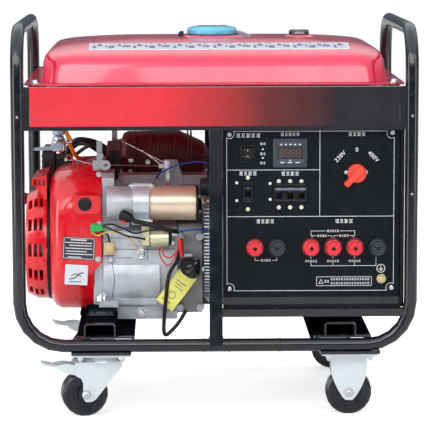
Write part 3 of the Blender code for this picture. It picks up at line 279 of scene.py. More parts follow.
def make_looks():
    frame_coat = look("frame_black", "frame_black", (14, 18, 25), 0.20, coat=0.5, grain=0.08, grain_size=1.6,
                      wear=0.18, wear_rgb=(110, 112, 118), edge=0.8, dust=0.012, shine=0.35)
    dull_cradle(frame_coat)
    look("red_paint", "red_enamel", (218, 12, 30), 0.24, coat=0.5, grain=0.05, grain_size=1.8, mottle=0.05,
         wear=0.05, wear_rgb=(240, 120, 120), edge=0.8)
    look("tank_red", "red_enamel", (230, 34, 78), 0.28, coat=0.8, grain=0.05, grain_size=2.0, mottle=0.05,
         size=120, edge=1.2)
    look("band_paint", "red_enamel", (216, 50, 62), 0.32, coat=0.12, shine=0.3, grain=0.08, grain_size=1.6,
         mottle=0.05, size=90, base=band_fade, edge=0.8)
    look("panel_black", "panel_black", (14, 19, 25), 0.36, grain=0.2, grain_size=0.5, mottle=0.10, shine=0.14)
    look("rubber", "rubber", (17, 17, 19), 0.55, grain=0.4, grain_size=0.6, mottle=0.15, dust=0.03, shine=0.3)
    look("tyre", "wheel_black", (24, 27, 33), 0.32, grain=0.35, grain_size=0.7, mottle=0.15, dust=0.015,
         edge=0.9, coat=0.15, shine=0.4)
    # The mount blocks are black rubber; this grey-blue is a painted reflection on them.
    look("mount_rubber_sheen", "rubber", (46, 50, 60), 0.5, grain=0.3, grain_size=0.7, mottle=0.12, shine=0.3)
    look("zinc", "zinc_plate", (218, 227, 232), 0.36, metal=0.35, grain=0.05, grain_size=1.0, mottle=0.04,
         size=40, spread=0.06, wear=0.12, wear_rgb=(235, 238, 240))
    look("bolt_zinc", "zinc_plate", (206, 208, 210), 0.26, metal=0.95, grain=0.12, grain_size=0.6, edge=0.3)
    look("alloy", "cast_aluminium", (190, 193, 201), 0.44, metal=0.4, grain=0.55, grain_size=0.9, mottle=0.10,
         size=24, base=casting_stain, wear=0.4, wear_rgb=(216, 216, 220), edge=1.0)
    look("steel", "plated_steel", (176, 178, 182), 0.30, metal=0.95, grain=0.15, grain_size=0.5, edge=0.4)
    look("alloy_bright", "cast_aluminium", (204, 208, 218), 0.36, metal=0.45, grain=0.3, grain_size=0.8,
         mottle=0.06, size=20, wear=0.3, wear_rgb=(236, 236, 240), edge=0.8)
    look("alloy_dark", "cast_aluminium", (140, 139, 141), 0.5, metal=0.45, grain=0.55, grain_size=0.9,
         mottle=0.12, size=24, base=casting_stain, wear=0.3, wear_rgb=(190, 190, 194), edge=1.0)
    look("core", "core_steel", (74, 76, 82), 0.45, metal=0.6, grain=0.3, grain_size=0.5, stretch=(6, 1, 1))
    look("yellow_zinc", "yellow_zinc", (246, 226, 198), 0.36, spread=0.05, metal=0.6, grain=0.06,
         grain_size=0.6, base=bichromate, edge=0.6)
    look("solenoid_zinc", "yellow_zinc", (218, 220, 176), 0.30, metal=0.6, grain=0.08, grain_size=0.6,
         base=bichromate, edge=0.6)
    look("muffler", "muffler_brown", (92, 26, 28), 0.44, metal=0.15, grain=0.35, grain_size=0.9, mottle=0.2,
         base=heat_tint, wear=0.3, wear_rgb=(140, 110, 100), edge=1.2)
    look("cap_dark", "cap_blue", (24, 34, 66), 0.35, coat=0.4, grain=0.10)
    look("cap_blue", "cap_blue", (104, 204, 234), 0.30, coat=0.4, grain=0.10, mottle=0.15)
    look("plastic", "black_plastic", (16, 17, 20), 0.40, grain=0.25, grain_size=0.5, wear=0.12,
         wear_rgb=(80, 80, 84), shine=0.3)
    look("plastic_gloss", "black_plastic", (18, 18, 21), 0.22, coat=0.4, grain=0.06, grain_size=0.8)
    look("tag_print", "black_plastic", (150, 158, 104), 0.5, grain=0.1, grain_size=0.4, mottle=0.1, size=8)
    look("grey_plastic", "grey_plastic", (54, 60, 68), 0.40, grain=0.25, grain_size=0.5, shine=0.35)
    look("pale_plastic", "grey_plastic", (50, 56, 66), 0.40, grain=0.2, grain_size=0.5)
    # Lighter blue-grey for the dark breaker levers: painted highlight.
    look("lever_highlight_grey", "grey_plastic", (104, 112, 130), 0.38, grain=0.15, grain_size=0.5, edge=0.4)
    look("breaker_black", "grey_plastic", (19, 20, 24), 0.34, grain=0.2, grain_size=0.5, edge=0.4, shine=0.25)
    look("screw_cream", "plated_steel", (232, 226, 206), 0.34, metal=0.4, grain=0.15, grain_size=0.4,
         edge=0.3)
    look("gauge_metal", "black_plastic", (84, 87, 94), 0.32, metal=0.6, grain=0.15, grain_size=0.6)
    look("knob_red", "knob_red", (230, 72, 52), 0.36, coat=0.3, grain=0.12, grain_size=0.6, edge=0.6)
    # A darker copy of the terminal red for the collars behind the red nuts: painted shade.
    look("terminal_red_shaded", "terminal_red", (108, 8, 22), 0.40, grain=0.15, grain_size=0.5, edge=0.5)
    look("terminal_red", "terminal_red", (222, 34, 52), 0.34, coat=0.2, grain=0.15, grain_size=0.5, edge=0.5)
    look("brass", "brass", (224, 206, 158), 0.28, metal=0.95, grain=0.15, grain_size=0.5, edge=0.3)
    look("print_white", "panel_black", (232, 234, 236), 0.5, grain=0.1, grain_size=0.3, mottle=0.06, size=6)
    look("label_dark", "black_plastic", (44, 46, 52), 0.34, grain=0.1, grain_size=0.4, mottle=0.15, size=8)
    look("label_white", "red_enamel", (222, 230, 242), 0.5, grain=0.15, grain_size=0.4, mottle=0.05, size=8,
         base=paper_print)
    look("label_yellow", "black_plastic", (248, 244, 132), 0.5, grain=0.15, grain_size=0.5, mottle=0.06,
         size=10)
    look("decal_silver", "red_enamel", (200, 200, 218), 0.36, metal=0.2, grain=0.15, grain_size=0.5,
         mottle=0.12, size=14)
    look("decal_dark", "red_enamel", (78, 82, 106), 0.4, grain=0.1, grain_size=0.4, mottle=0.2, size=6)
    look("glass_dark", "grey_plastic", (30, 30, 34), 0.12, coat=0.8, grain=0.02, mottle=0.1)
    # Unlit segments given a faint emission: painted glow.
    look("digit_dim_glow", "knob_red", (112, 78, 72), 0.4, grain=0.05, glow=0.12)
    look("meter_face", "grey_plastic", (64, 71, 84), 0.34, coat=0.4, grain=0.1, mottle=0.15, size=12)
    look("wire_black", "black_plastic", (12, 12, 14), 0.38, shine=0.35, grain=0.2, grain_size=0.6)
    look("wire_blue", "cap_blue", (30, 74, 176), 0.4, grain=0.15, grain_size=0.6)
    look("wire_red", "knob_red", (206, 26, 30), 0.4, grain=0.15, grain_size=0.6)
    look("wire_yellow", "brass", (212, 184, 70), 0.42, grain=0.15, grain_size=0.6)
    look("plug_green", "cap_blue", (30, 168, 74), 0.36, grain=0.15, grain_size=0.6, coat=0.3)
    look("clip_beige", "brass", (206, 184, 140), 0.45, grain=0.2, grain_size=0.6)
    look("hose_orange", "knob_red", (232, 138, 22), 0.36, coat=0.3, grain=0.1, mottle=0.12)
    look("hose_black", "rubber", (12, 13, 15), 0.42, shine=0.3, grain=0.3, grain_size=0.7)
    look("bowl_silver", "plated_steel", (202, 204, 208), 0.24, metal=0.9, grain=0.1, grain_size=0.5)
    look("clamp_blue", "grey_plastic", (150, 162, 180), 0.4, metal=0.3, grain=0.15)
    look("gauge_face", "black_plastic", (196, 200, 206), 0.3, coat=0.4, grain=0.05, mottle=0.1)


CAD_LOOK = {
    "frame_black": "frame_black",
    "red_enamel": "red_paint",
    "panel_black": "panel_black",
    "rubber": "rubber",
    "wheel_black": "tyre",
    "zinc_plate": "zinc",
    "cast_aluminium": "alloy",
    "plated_steel": "steel",
    "core_steel": "core",
    "yellow_zinc": "yellow_zinc",
    "muffler_brown": "muffler",
    "cap_blue": "cap_dark",
    "black_plastic": "plastic",
    "grey_plastic": "grey_plastic",
    "knob_red": "knob_red",
    "terminal_red": "terminal_red",
    "brass": "brass",
}
NODE_LOOK = {
    "front_band": "band_paint",
    "fuel_tap": "bowl_silver",
    "digital_meter": "pale_plastic",
    "starter_solenoid": "solenoid_zinc",
    "breaker_single": "breaker_black",
    # The breaker toggles are dark levers; the lighter greys given to them here paint their highlights.
    "breaker_single_toggle": "grey_plastic",
    "breaker_triple_toggle": "lever_highlight_grey",
    # The black posts' nuts take a lighter grey than their black collars: painted light on the nuts.
    "nut_single_neutral": "grey_plastic",
    "nut_phase_n": "grey_plastic",
    "governor_arm": "bolt_zinc",
    "engine_mount_front": "mount_rubber_sheen",
    "engine_mount_rear": "mount_rubber_sheen",
    "alternator_mount_front": "mount_rubber_sheen",
    "alternator_mount_rear": "mount_rubber_sheen",
    "breaker_triple": "breaker_black",
    "crankcase_cover": "alloy_dark",
    "fuel_gauge": "gauge_metal",
    "fuel_cap": "cap_blue",
    "fuel_tap_lever": "clamp_blue",
}


# ---------------------------------------------------------------- geometry

def side_axes(axis):
    """Two unit vectors square to axis and to each other."""
    helper = Vector(UP) if abs(axis.z) < 0.9 else Vector(RIGHT)
    first = axis.cross(helper).normalized()
    return first, axis.cross(first).normalized()


def arc(centre, radius, start, stop, steps):
    """Points on an arc in a plane, angles in degrees."""
    angles = [radians(start + (stop - start) * k / steps) for k in range(steps + 1)]
    return [(centre[0] + radius * cos(a), centre[1] + radius * sin(a)) for a in angles]


def rounded(low, high, radius, steps=4):
    """A rounded rectangle's outline, counter-clockwise."""
    corners = ((high[0], low[1], -90), (high[0], high[1], 0), (low[0], high[1], 90), (low[0], low[1], 180))
    outline = []
    for x, y, start in corners:
        centre_x = x + (radius if x == low[0] else -radius)
        centre_y = y + (radius if y == low[1] else -radius)
        outline += arc((centre_x, centre_y), radius, start, start + 90, steps)
    return outline


def flowing(points, steps=8):
    """A smooth curve through the points (Catmull-Rom)."""
    spots = [Vector(p) for p in points]
    padded = [2 * spots[0] - spots[1]] + spots + [2 * spots[-1] - spots[-2]]
    path = []
    for a, b, c, d in zip(padded, padded[1:], padded[2:], padded[3:]):
        for k in range(steps):
            t = k / steps
            path.append(0.5 * (2 * b + (c - a) * t + (2 * a - 5 * b + 4 * c - d) * t ** 2
                               + (3 * b - a - 3 * c + d) * t ** 3))
    return path + [spots[-1]]


class Shape:
    """Closed bodies gathered in millimetres, then made into one named piece."""

    def __init__(self):
        self.mesh = bmesh.new()

    def rings(self, rings, closed=False):
        loops = [[self.mesh.verts.new(Vector(point) * MM) for point in ring] for ring in rings]
        pairs = list(zip(loops, loops[1:]))
        if closed:
            pairs.append((loops[-1], loops[0]))
        for a, b in pairs:
            for i in range(len(a)):
                j = (i + 1) % len(a)
                self.mesh.faces.new((a[i], a[j], b[j], b[i]))
        if not closed:
            self.mesh.faces.new(loops[0])
            self.mesh.faces.new(list(reversed(loops[-1])))
        return self

    def bar(self, x, y, z):
        corners = ((x[0], y[0]), (x[1], y[0]), (x[1], y[1]), (x[0], y[1]))
        return self.rings([[(a, b, height) for a, b in corners] for height in z])

    def prism(self, outline, axis, start, end):
        """An outline in the plane square to axis; its two numbers are the other axes in x, y, z order."""
        place = {
            "x": lambda a, b, depth: (depth, a, b),
            "y": lambda a, b, depth: (a, depth, b),
            "z": lambda a, b, depth: (a, b, depth),
        }[axis]
        return self.rings([[place(a, b, depth) for a, b in outline] for depth in (start, end)])

    def turned(self, centre, axis, profile, sides=24, start=0.0):
        axis = Vector(axis).normalized()
        first, second = side_axes(axis)
        turns = [radians(start) + 2 * pi * k / sides for k in range(sides)]
        spokes = [first * cos(turn) + second * sin(turn) for turn in turns]
        return self.rings([[Vector(centre) + axis * height + spoke * radius for spoke in spokes]
                           for radius, height in profile])

    def rod(self, start, end, radius, sides=16):
        along = Vector(end) - Vector(start)
        return self.turned(start, along, [(radius, 0), (radius, along.length)], sides)

    def tube(self, path, radius, sides=10, closed=False):
        """A round bar along a path; its section is carried without twist."""
        path = [Vector(point) for point in path]
        count = len(path)
        radii = radius if isinstance(radius, (list, tuple)) else [radius] * count
        rings = []
        first = None
        for k, point in enumerate(path):
            after = path[(k + 1) % count] if closed or k + 1 < count else point
            before = path[k - 1] if closed or k else point
            ahead = (after - before).normalized()
            first = side_axes(ahead)[0] if first is None else (first - ahead * first.dot(ahead)).normalized()
            second = ahead.cross(first)
            turns = [2 * pi * i / sides for i in range(sides)]
            rings.append([point + (first * cos(turn) + second * sin(turn)) * radii[k] for turn in turns])
        return self.rings(rings, closed)

    def hose(self, radius, sides, *points):
        """A hose or wire that flows through the points."""
        return self.tube(flowing(points), radius, sides)

    def hoop(self, centre, axis, radius, thickness, sides=24, section=8):
        first, second = side_axes(Vector(axis).normalized())
        path = [Vector(centre) + (first * cos(2 * pi * k / sides) + second * sin(2 * pi * k / sides)) * radius
                for k in range(sides)]
        return self.tube(path, thickness, section, True)

    def ribbon(self, points, width, front, back, closed=False):
        """A flat strip along points in the XZ plane, between two depths."""
        points = [Vector(p) for p in points]
        rings = []
        for k, point in enumerate(points):
            before = points[k - 1] if closed or k else point
            after = points[(k + 1) % len(points)] if closed or k + 1 < len(points) else point
            into = (point - before).normalized() if before != point else (after - point).normalized()
            out = (after - point).normalized() if after != point else into
            square = Vector((-(into + out).y, (into + out).x)).normalized()
            reach = width / 2 / max(0.5, square.dot(Vector((-into.y, into.x))))
            a, b = point + square * reach, point - square * reach
            rings.append([(a.x, front, a.y), (b.x, front, b.y), (b.x, back, b.y), (a.x, back, a.y)])
        return self.rings(rings, closed)

    def bolt(self, seat, axis, flats, height, washer=0.0, shank=0.0):
        """A hexagon head on its seat, with a washer under it and a thread end past it if they have a size."""
        reach = flats / sqrt(3)
        lift = 1.0 if washer else 0.0
        if washer:
            self.turned(seat, axis, [(washer, -0.2), (washer, lift)], 20)
        head = [(reach, lift - 0.1), (reach, lift + height * 0.8), (reach * 0.84, lift + height)]
        self.turned(seat, axis, head, 6)
        if shank:
            self.turned(seat, axis, [(flats * 0.32, lift), (flats * 0.32, height + shank),
                                     (flats * 0.24, height + shank + 0.6)], 12)
        return self

    def screw(self, seat, axis, radius, height):
        """A domed screw head with a sunk middle."""
        profile = ((1, -0.2, 0), (1, 0, 0.35), (0.85, 0, 0.8), (0.5, 0, 1), (0.42, 0, 0.55), (0.2, 0, 0.5))
        rings = [(radius * share, lift + height * rise) for share, lift, rise in profile]
        return self.turned(seat, axis, rings, 18)

    def finish(self, name, look_name, body="machine", sharp=35, bevel=0.0, replaces=()):
        bmesh.ops.recalc_face_normals(self.mesh, faces=self.mesh.faces)
        mesh = bpy.data.meshes.new(name)
        self.mesh.to_mesh(mesh)
        self.mesh.free()
        mesh.polygons.foreach_set("use_smooth", [True] * len(mesh.polygons))
        mesh.set_sharp_from_angle(angle=radians(sharp))
        material, slot = LOOKS[look_name]
        mesh.materials.append(material)
        piece = bpy.data.objects.new(name, mesh)
        bpy.context.scene.collection.objects.link(piece)
        if bevel:
            soften = piece.modifiers.new("soften", "BEVEL")
            soften.width = bevel * MM
            soften.segments = 2
            soften.limit_method = "ANGLE"
            soften.harden_normals = True
        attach(piece, body)
        if replaces:
            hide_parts(*replaces)
        return piece


def smooth_group():
    """Joins a CAD node's loose triangles and shades it smooth except at its edges."""
    group = bpy.data.node_groups.new("smooth_by_angle", "GeometryNodeTree")
    group.interface.new_socket("Geometry", in_out="INPUT", socket_type="NodeSocketGeometry")
    group.interface.new_socket("Geometry", in_out="OUTPUT", socket_type="NodeSocketGeometry")
    nodes = {}
    for key, kind in (("in", "NodeGroupInput"), ("merge", "GeometryNodeMergeByDistance"),
                      ("faces", "GeometryNodeSetShadeSmooth"), ("edges", "GeometryNodeSetShadeSmooth"),
                      ("angle", "GeometryNodeInputMeshEdgeAngle"), ("limit", "FunctionNodeCompare"),
                      ("out", "NodeGroupOutput")):
        nodes[key] = group.nodes.new(kind)
    nodes["merge"].inputs["Distance"].default_value = 0.00001
    nodes["edges"].domain = "EDGE"
    nodes["edges"].inputs["Shade Smooth"].default_value = False
    nodes["limit"].operation = "GREATER_THAN"
    nodes["limit"].inputs["B"].default_value = radians(33)
    links = group.links
    links.new(nodes["in"].outputs[0], nodes["merge"].inputs["Geometry"])
    links.new(nodes["merge"].outputs["Geometry"], nodes["faces"].inputs["Geometry"])
    links.new(nodes["faces"].outputs["Geometry"], nodes["edges"].inputs["Geometry"])
    links.new(nodes["angle"].outputs["Unsigned Angle"], nodes["limit"].inputs["A"])
    links.new(nodes["limit"].outputs["Result"], nodes["edges"].inputs["Selection"])
    links.new(nodes["edges"].outputs["Geometry"], nodes["out"].inputs[0])
    return group


def dress_cad():
    """Gives every CAD node its finish and clean shading."""
    group = smooth_group()
    for name, node in frame["nodes"].items():
        slot_name = node.material_slots[0].material.name
        chosen = NODE_LOOK.get(name, CAD_LOOK[slot_name])
        node.material_slots[0].material = LOOKS[chosen][0]
        custom = node.data.attributes.get("custom_normal")
        if custom:
            node.data.attributes.remove(custom)
        shading = node.modifiers.new("shading", "NODES")
        shading.node_group = group


# ---------------------------------------------------------------- fuel tank

def tank_level(z, half_x, half_y, radius):
    return [(x, y, z) for x, y in rounded((-half_x, -half_y), (half_x, half_y), radius, 8)]


def make_tank():
    """The pressed tank: flange, leaning wall, crease and crowned top."""
    tank = AT["fuel_tank"]
    half_x, half_y = tank.x1, tank.y1
    flange = 580.9
    shell = Shape()
    stations = (
        (-32.5, 36, 33, 44), (0, 36, 33, 44), (1.2, 33, 25, 42), (1.8, 27.5, 21, 45), (8, 28, 22.5, 45),
        (24, 30.5, 27, 46), (38.5, 32, 31, 48), (40.5, 33, 32.2, 49), (44.5, 34, 35.5, 51), (48, 36, 41, 53),
        (53, 40, 54, 56), (57, 46, 69, 58), (60.5, 55.5, 86, 60), (63.5, 69, 104, 60), (66, 88, 123, 59),
        (68.2, 114, 143, 56), (70, 144, 163, 48), (71, 190, 182, 42), (71.4, 240, 200, 30),
    )
    shell.rings([tank_level(flange + rise, half_x - dx, half_y - dy, radius)
                 for rise, dx, dy, radius in stations])
    shell.turned((0, 0, 0), UP, [(62, 645), (60, 648.8), (57, 651.5), (54.5, 654.2), (50, 654.4)], 48)
    gauge = AT["fuel_gauge"]
    shell.turned((gauge.x, gauge.y, 0), UP, [(34, 643), (30, 648), (26, 652), (23.5, 653.4), (20, 653.5)], 40)
    lip = rounded((-half_x, -half_y), (half_x, half_y), 22, 8)
    for z0, z1, shrink in ((579.6, 580.8, 0.0), (581.0, 582.4, 0.6)):
        ring = [(x * (1 - shrink / half_x), y * (1 - shrink / half_y)) for x, y in lip]
        shell.prism(ring, "z", z0, z1)
    shell.finish("tank_shell", "tank_red", sharp=28, replaces=["fuel_tank"])


def make_tank_trim():
    """Decal strip, and flange bolts with rubber buffers."""
    tank = AT["fuel_tank"]
    left, right = -216.6, 235.6
    slope = ((184, 637.4), (164, 641.4), (146, 644.4), (138, 645.6))
    silver, dark, white = Shape(), Shape(), Shape()

    def on_slope(x, share, lift):
        """A point on the slope of the tank top; share runs from the strip's lower to its upper edge."""
        spot = share * (len(slope) - 1)
        k = max(0, min(int(spot), len(slope) - 2))
        t = spot - k
        y = slope[k][0] * (1 - t) + slope[k + 1][0] * t
        z = slope[k][1] * (1 - t) + slope[k + 1][1] * t
        return (x, -y - lift * 0.2, z + lift * 0.98)

    def strip(shape, x0, x1, low, high, lift):
        steps = 4
        front = [on_slope(x0, low + (high - low) * k / steps, lift) for k in range(steps + 1)]
        back = [on_slope(x0, high - (high - low) * k / steps, -1.5) for k in range(steps + 1)]
        shape.rings([front + back, [(x1, y, z) for _, y, z in front + back]])

    width = right - left
    strip(silver, left, right, 0.0, 1.0, 0.5)
    strip(white, left, right, -0.03, 0.03, 0.8)
    strip(white, left, right, 0.97, 1.03, 0.8)
    for share in (0.0, 0.465, 0.775, 1.0):
        x = left + share * width
        strip(white, x - 0.8, x + 0.8, -0.03, 1.03, 0.8)
    x = left + 6
    k = 0
    while x < right - 10:
        length = (5, 8, 4, 10, 6, 13)[k % 6]
        low = (0.16, 0.40, 0.28)[k % 3]
        high = low + (0.20, 0.26, 0.22)[(k + 1) % 3]
        strip(dark, x, min(x + length, right - 8), low, high, 0.7)
        strip(dark, x, min(x + length * 0.6, right - 8), 0.78, 0.90, 0.7)
        x += length + (3, 5, 2, 6)[k % 4]
        k += 1
    silver.finish("tank_decal", "decal_silver")
    dark.finish("tank_decal_bars", "decal_dark")
    white.finish("tank_decal_dividers", "print_white")
    bolts, buffers = Shape(), Shape()
    head = [(9, 0), (9, 1.4), (6.2, 1.5), (6.0, 4.6), (4.4, 6.6), (1.5, 7.4)]
    for side_x in (-1, 1):
        for side_y in (-1, 1):
            x, y = side_x * 309, side_y * (tank.y1 - 12)
            bolts.turned((x, y, 582.3), UP, head, 20)
            buffers.turned((x, y, 0), UP, [(9.5, 566.3), (10.5, 570), (10.5, 576), (9.5, 579.4)], 20)
    bolts.finish("tank_bolts", "bolt_zinc")
    buffers.finish("tank_buffers", "rubber")


def grip_outline(cap, reach):
    """The outline of the low grip across the cap, reach to each side."""
    return rounded((cap.x - 26, cap.y - reach), (cap.x + 26, cap.y + reach), reach * 0.9, 5)


def make_cap():
    """The cap's band, ribs and grip, its keeper, and the gauge's face and needle, with a silver bar on its
    front as painted highlight.
    """
    cap = AT["fuel_cap"]
    radius = cap.x1
    band = Shape()
    band.turned((cap.x, cap.y, cap.z0), UP, [(radius - 0.6, 2.6), (radius + 0.5, 3.2), (radius + 0.5, 8.4),
                                                    (radius - 0.6, 9.0)], 64)
    band.finish("fuel_cap_band", "cap_blue", "fuel_cap")
    ribs = Shape()
    for k in range(48):
        turn = 2 * pi * k / 48
        foot = Vector((cap.x + cos(turn) * (radius + 0.4), cap.y + sin(turn) * (radius + 0.4), cap.z0 + 3.4))
        ribs.rod(foot, foot + Vector((0, 0, 4.8)), 0.45, 6)
    ribs.finish("fuel_cap_ribs", "cap_blue", "fuel_cap")
    insert = Shape()
    insert.turned((cap.x, cap.y, cap.z1), UP, [(37, -0.6), (37, 0.3), (35, 0.9), (12, 1.3)], 40)
    insert.finish("fuel_cap_insert", "cap_blue", "fuel_cap")
    grip = Shape()
    layers = ((0.6, 6), (2.0, 5), (2.6, 4))
    grip.rings([[(x, y, cap.z1 + rise) for x, y in grip_outline(cap, reach)] for rise, reach in layers])
    grip.finish("fuel_cap_grip", "cap_dark", "fuel_cap")
    keeper = Shape()
    keeper.turned((cap.x, cap.y, 0), UP, [(50, 653.4), (50, 655.2), (46.5, 656.2), (46.0, 653.4)], 48)
    keeper.prism([(-62, 651), (-60, 659), (-52, 661), (-50, 651)], "y", cap.y - 16, cap.y + 16)
    keeper.finish("fuel_cap_keeper", "cap_dark")
    ramp = Shape()
    ramp.prism([(46, 652), (46, 661), (52, 660), (70, 653.6), (70, 652)], "y", cap.y - 13, cap.y + 13)
    ramp.finish("fuel_cap_ramp", "clamp_blue", bevel=1.0)
    gauge = AT["fuel_gauge"]
    # A silver bar across the gauge's front: painted highlight.
    window = Shape()
    window.bar((gauge.x - 8, gauge.x + 8), (gauge.y0 - 0.5, gauge.y0 + 4), (gauge.z0 + 1.4, gauge.z0 + 5.2))
    window.finish("fuel_gauge_highlight_bar", "bowl_silver", bevel=0.6)
    face = Shape()
    face.turned((gauge.x, gauge.y, gauge.z1), UP, [(9, -0.5), (9, 0.4), (8, 0.7)], 32)
    face.finish("fuel_gauge_face", "gauge_face")
    needle = Shape()
    needle.bar((gauge.x - 7, gauge.x + 3), (gauge.y - 0.6, gauge.y + 0.6), (gauge.z1 + 0.5, gauge.z1 + 1.0))
    needle.turned((gauge.x, gauge.y, gauge.z1), UP, [(1.8, 0.3), (1.8, 1.3)], 12)
    needle.finish("fuel_gauge_needle", "knob_red")
    rim = Shape()
    rim.hoop((gauge.x, gauge.y, gauge.z1 - 0.4), UP, 15.6, 1.2, 36)
    rim.finish("fuel_gauge_rim", "gauge_metal")


# ---------------------------------------------------------------- control panel

POSTS = ("single_live", "single_neutral", "phase_u", "phase_v", "phase_w", "phase_n")
SELECTOR = (245.4, 426.0)


def glyph_row(shape, x, z, count, width, height, front):
    """A row of plain printed blocks standing for a label, count blocks each width by height."""
    pitch = width * 1.2
    start = x - pitch * (count - 1) / 2
    depth = (front - 0.2, front + 0.1)
    for k in range(count):
        centre = start + pitch * k
        half = width * (0.44, 0.36, 0.47, 0.40)[k % 4]
        bar = height * 0.16
        shape.bar((centre - half, centre + half), depth, (z + height * 0.5 - bar * 1.6, z + height * 0.5))
        shape.bar((centre - half * 0.8, centre + half * 0.8), depth, (z - bar * 0.8, z + bar * 0.8))
        shape.bar((centre - half, centre + half), depth, (z - height * 0.5, z - height * 0.5 + bar * 1.6))
        side = (-1, 0, 1, 0)[k % 4] * half * 0.6
        shape.bar((centre + side - width * 0.12, centre + side + width * 0.12), depth,
                  (z - height * 0.5, z + height * 0.5))


def print_borders(lines, high, near, back):
    """The border with scooped corners, and the three dividers inside it."""
    panel, single, triple = AT["control_panel"], AT["breaker_single"], AT["breaker_triple"]
    left, right, low = panel.x0 + 6.5, panel.x1 - 10.3, panel.z0 + 10.1
    scoop = 8.5
    outline = []
    for centre, start, stop in (((left + 4.5, high - 6.5), -122, 28), ((right - 5.5, high - 6.5), 152, 300),
                                ((right - 5.5, low + 5.5), 60, 212), ((left + 4.5, low + 5.5), -30, 120)):
        outline += arc(centre, scoop, start, stop, 10)
    lines.ribbon(outline, 0.9, near, back, True)
    middle = triple.x1 + 22.1
    upper = triple.z0 - 25.4
    shelf = (AT["rocker_bezel"].z0 + single.z1) / 2 + 2.8
    for path in ([(middle, high), (middle, upper)], [(left, upper), (right, upper)],
                 [(left, shelf), (middle, shelf)]):
        lines.ribbon(path, 0.9, near, back)


def print_labels(lines, high, front, near, back):
    """The headings, and the rows and marks beside the rocker and the breakers."""
    rocker, meter = AT["rocker_bezel"], AT["digital_meter"]
    single, triple = AT["breaker_single"], AT["breaker_triple"]
    for x, z, count, width, height in (
        (rocker.x + 1, high - 9.5, 5, 7.2, 7.0),
        (meter.x, high - 7.8, 5, 5.6, 5.6),
        (SELECTOR[0], high - 8.0, 4, 6.4, 6.2),
        (single.x, single.z1 + 13, 4, 6.7, 6.8),
        (triple.x, triple.z1 + 16, 4, 6.7, 6.8),
        (AT["nut_single_live"].x + 18, 342.6, 4, 6.7, 6.8),
        (AT["nut_phase_v"].x + 19, 342.6, 4, 6.7, 6.8),
    ):
        glyph_row(lines, x, z, count, width, height, front)
    aside = rocker.x1 + 12.8
    for z in (477.4, 460.2, 444.2):
        glyph_row(lines, aside, z, 2, 4.6, 4.2, front)
    for z, way in ((468.6, 1.6), (452.6, -1.6)):
        lines.prism([(aside - 2.2, z - way), (aside + 2.2, z - way), (aside, z + way)], "y", near, back)
    for x, z in ((37.8, 410), (95.6, 408.5), (37.7, 379), (95.7, 381)):
        lines.bar((x - 2.2, x + 2.2), (near, back), (z - 2.2, z + 2.2))


def print_connections(lines, front, near, back):
    """The lines and blocks that join the output posts."""
    nuts = [AT["nut_" + tag] for tag in POSTS]
    single_z = 274.5
    for nut, way in ((nuts[0], 1), (nuts[1], -1)):
        lines.ribbon([(nut.x, single_z + 7.5), (nut.x, single_z), (nut.x + way * 8, single_z)], 0.8, near,
                     back)
    glyph_row(lines, (nuts[0].x + nuts[1].x) / 2, single_z, 4, 3.8, 4.0, front)
    for first, last, z, foot, gap, inset, count in (
        (2, 4, 325.4, 316, 12.0, 0, 5),
        (2, 3, 317, 312.5, 9.5, 2.0, 4),
        (3, 4, 317, 312.5, 9.5, 2.0, 4),
    ):
        start, stop = nuts[first].x + inset, nuts[last].x - inset
        centre = (nuts[first].x + nuts[last].x) / 2
        lines.ribbon([(start, foot), (start, z), (centre - gap, z)], 0.8, near, back)
        lines.ribbon([(stop, foot), (stop, z), (centre + gap, z)], 0.8, near, back)
        glyph_row(lines, centre, z, count, 3.6, 4.0, front)
    for nut in nuts[2:5]:
        glyph_row(lines, nut.x, 272.6, 5, 3.6, 4.0, front)
        glyph_row(lines, nut.x, 279.6, 1, 3.4, 3.8, front)
    top, low = 269.5, 264.4
    neutral_x = nuts[5].x - 2
    lines.ribbon([(nuts[2].x, top), (nuts[2].x, low), (neutral_x, low), (neutral_x, 280)], 0.8, near, back)
    for nut in nuts[3:5]:
        lines.ribbon([(nut.x, top), (nut.x, low)], 0.8, near, back)


def print_earth(lines, front, near, back):
    """The earth sign, and the boxed rows beside the triangle."""
    earth = AT["ground_bolt"]
    x, z = earth.x - 0.7, earth.z + 18
    lines.hoop((x, front, z), BACK, 7.0, 0.65, 32)
    for half, drop in ((4.0, 0.6), (2.6, 2.5), (1.3, 4.4)):
        lines.bar((x - half, x + half), (near, back), (z - drop - 0.55, z - drop + 0.55))
    lines.bar((x - 0.6, x + 0.6), (near, back), (z - 0.6, z + 5.0))
    left, right, low, high = earth.x0 - 104.5, earth.x0 - 9, earth.z0 - 4, earth.z0 + 11.5
    lines.ribbon(rounded((left, low), (right, high), 0.8, 2), 0.8, near, back, True)
    triangle = [(left + 4, low + 4), (left + 11, low + 4), (left + 7.5, low + 11)]
    lines.ribbon(triangle, 0.9, near, back, True)
    glyph_row(lines, left + 17.5, (low + high) / 2, 2, 4.0, 4.6, front)
    for row in (low + 4.2, high - 4.2):
        glyph_row(lines, left + 58, row, 15, 3.8, 3.8, front)


def make_panel_print():
    """White printed borders, dividers, label blocks and connection lines."""
    panel = AT["control_panel"]
    front = panel.y0
    near, back = front - 0.22, front + 0.1
    high = panel.z1 - 1.4
    lines = Shape()
    print_borders(lines, high, near, back)
    print_labels(lines, high, front, near, back)
    print_connections(lines, front, near, back)
    print_earth(lines, front, near, back)
    lines.finish("panel_print", "print_white")


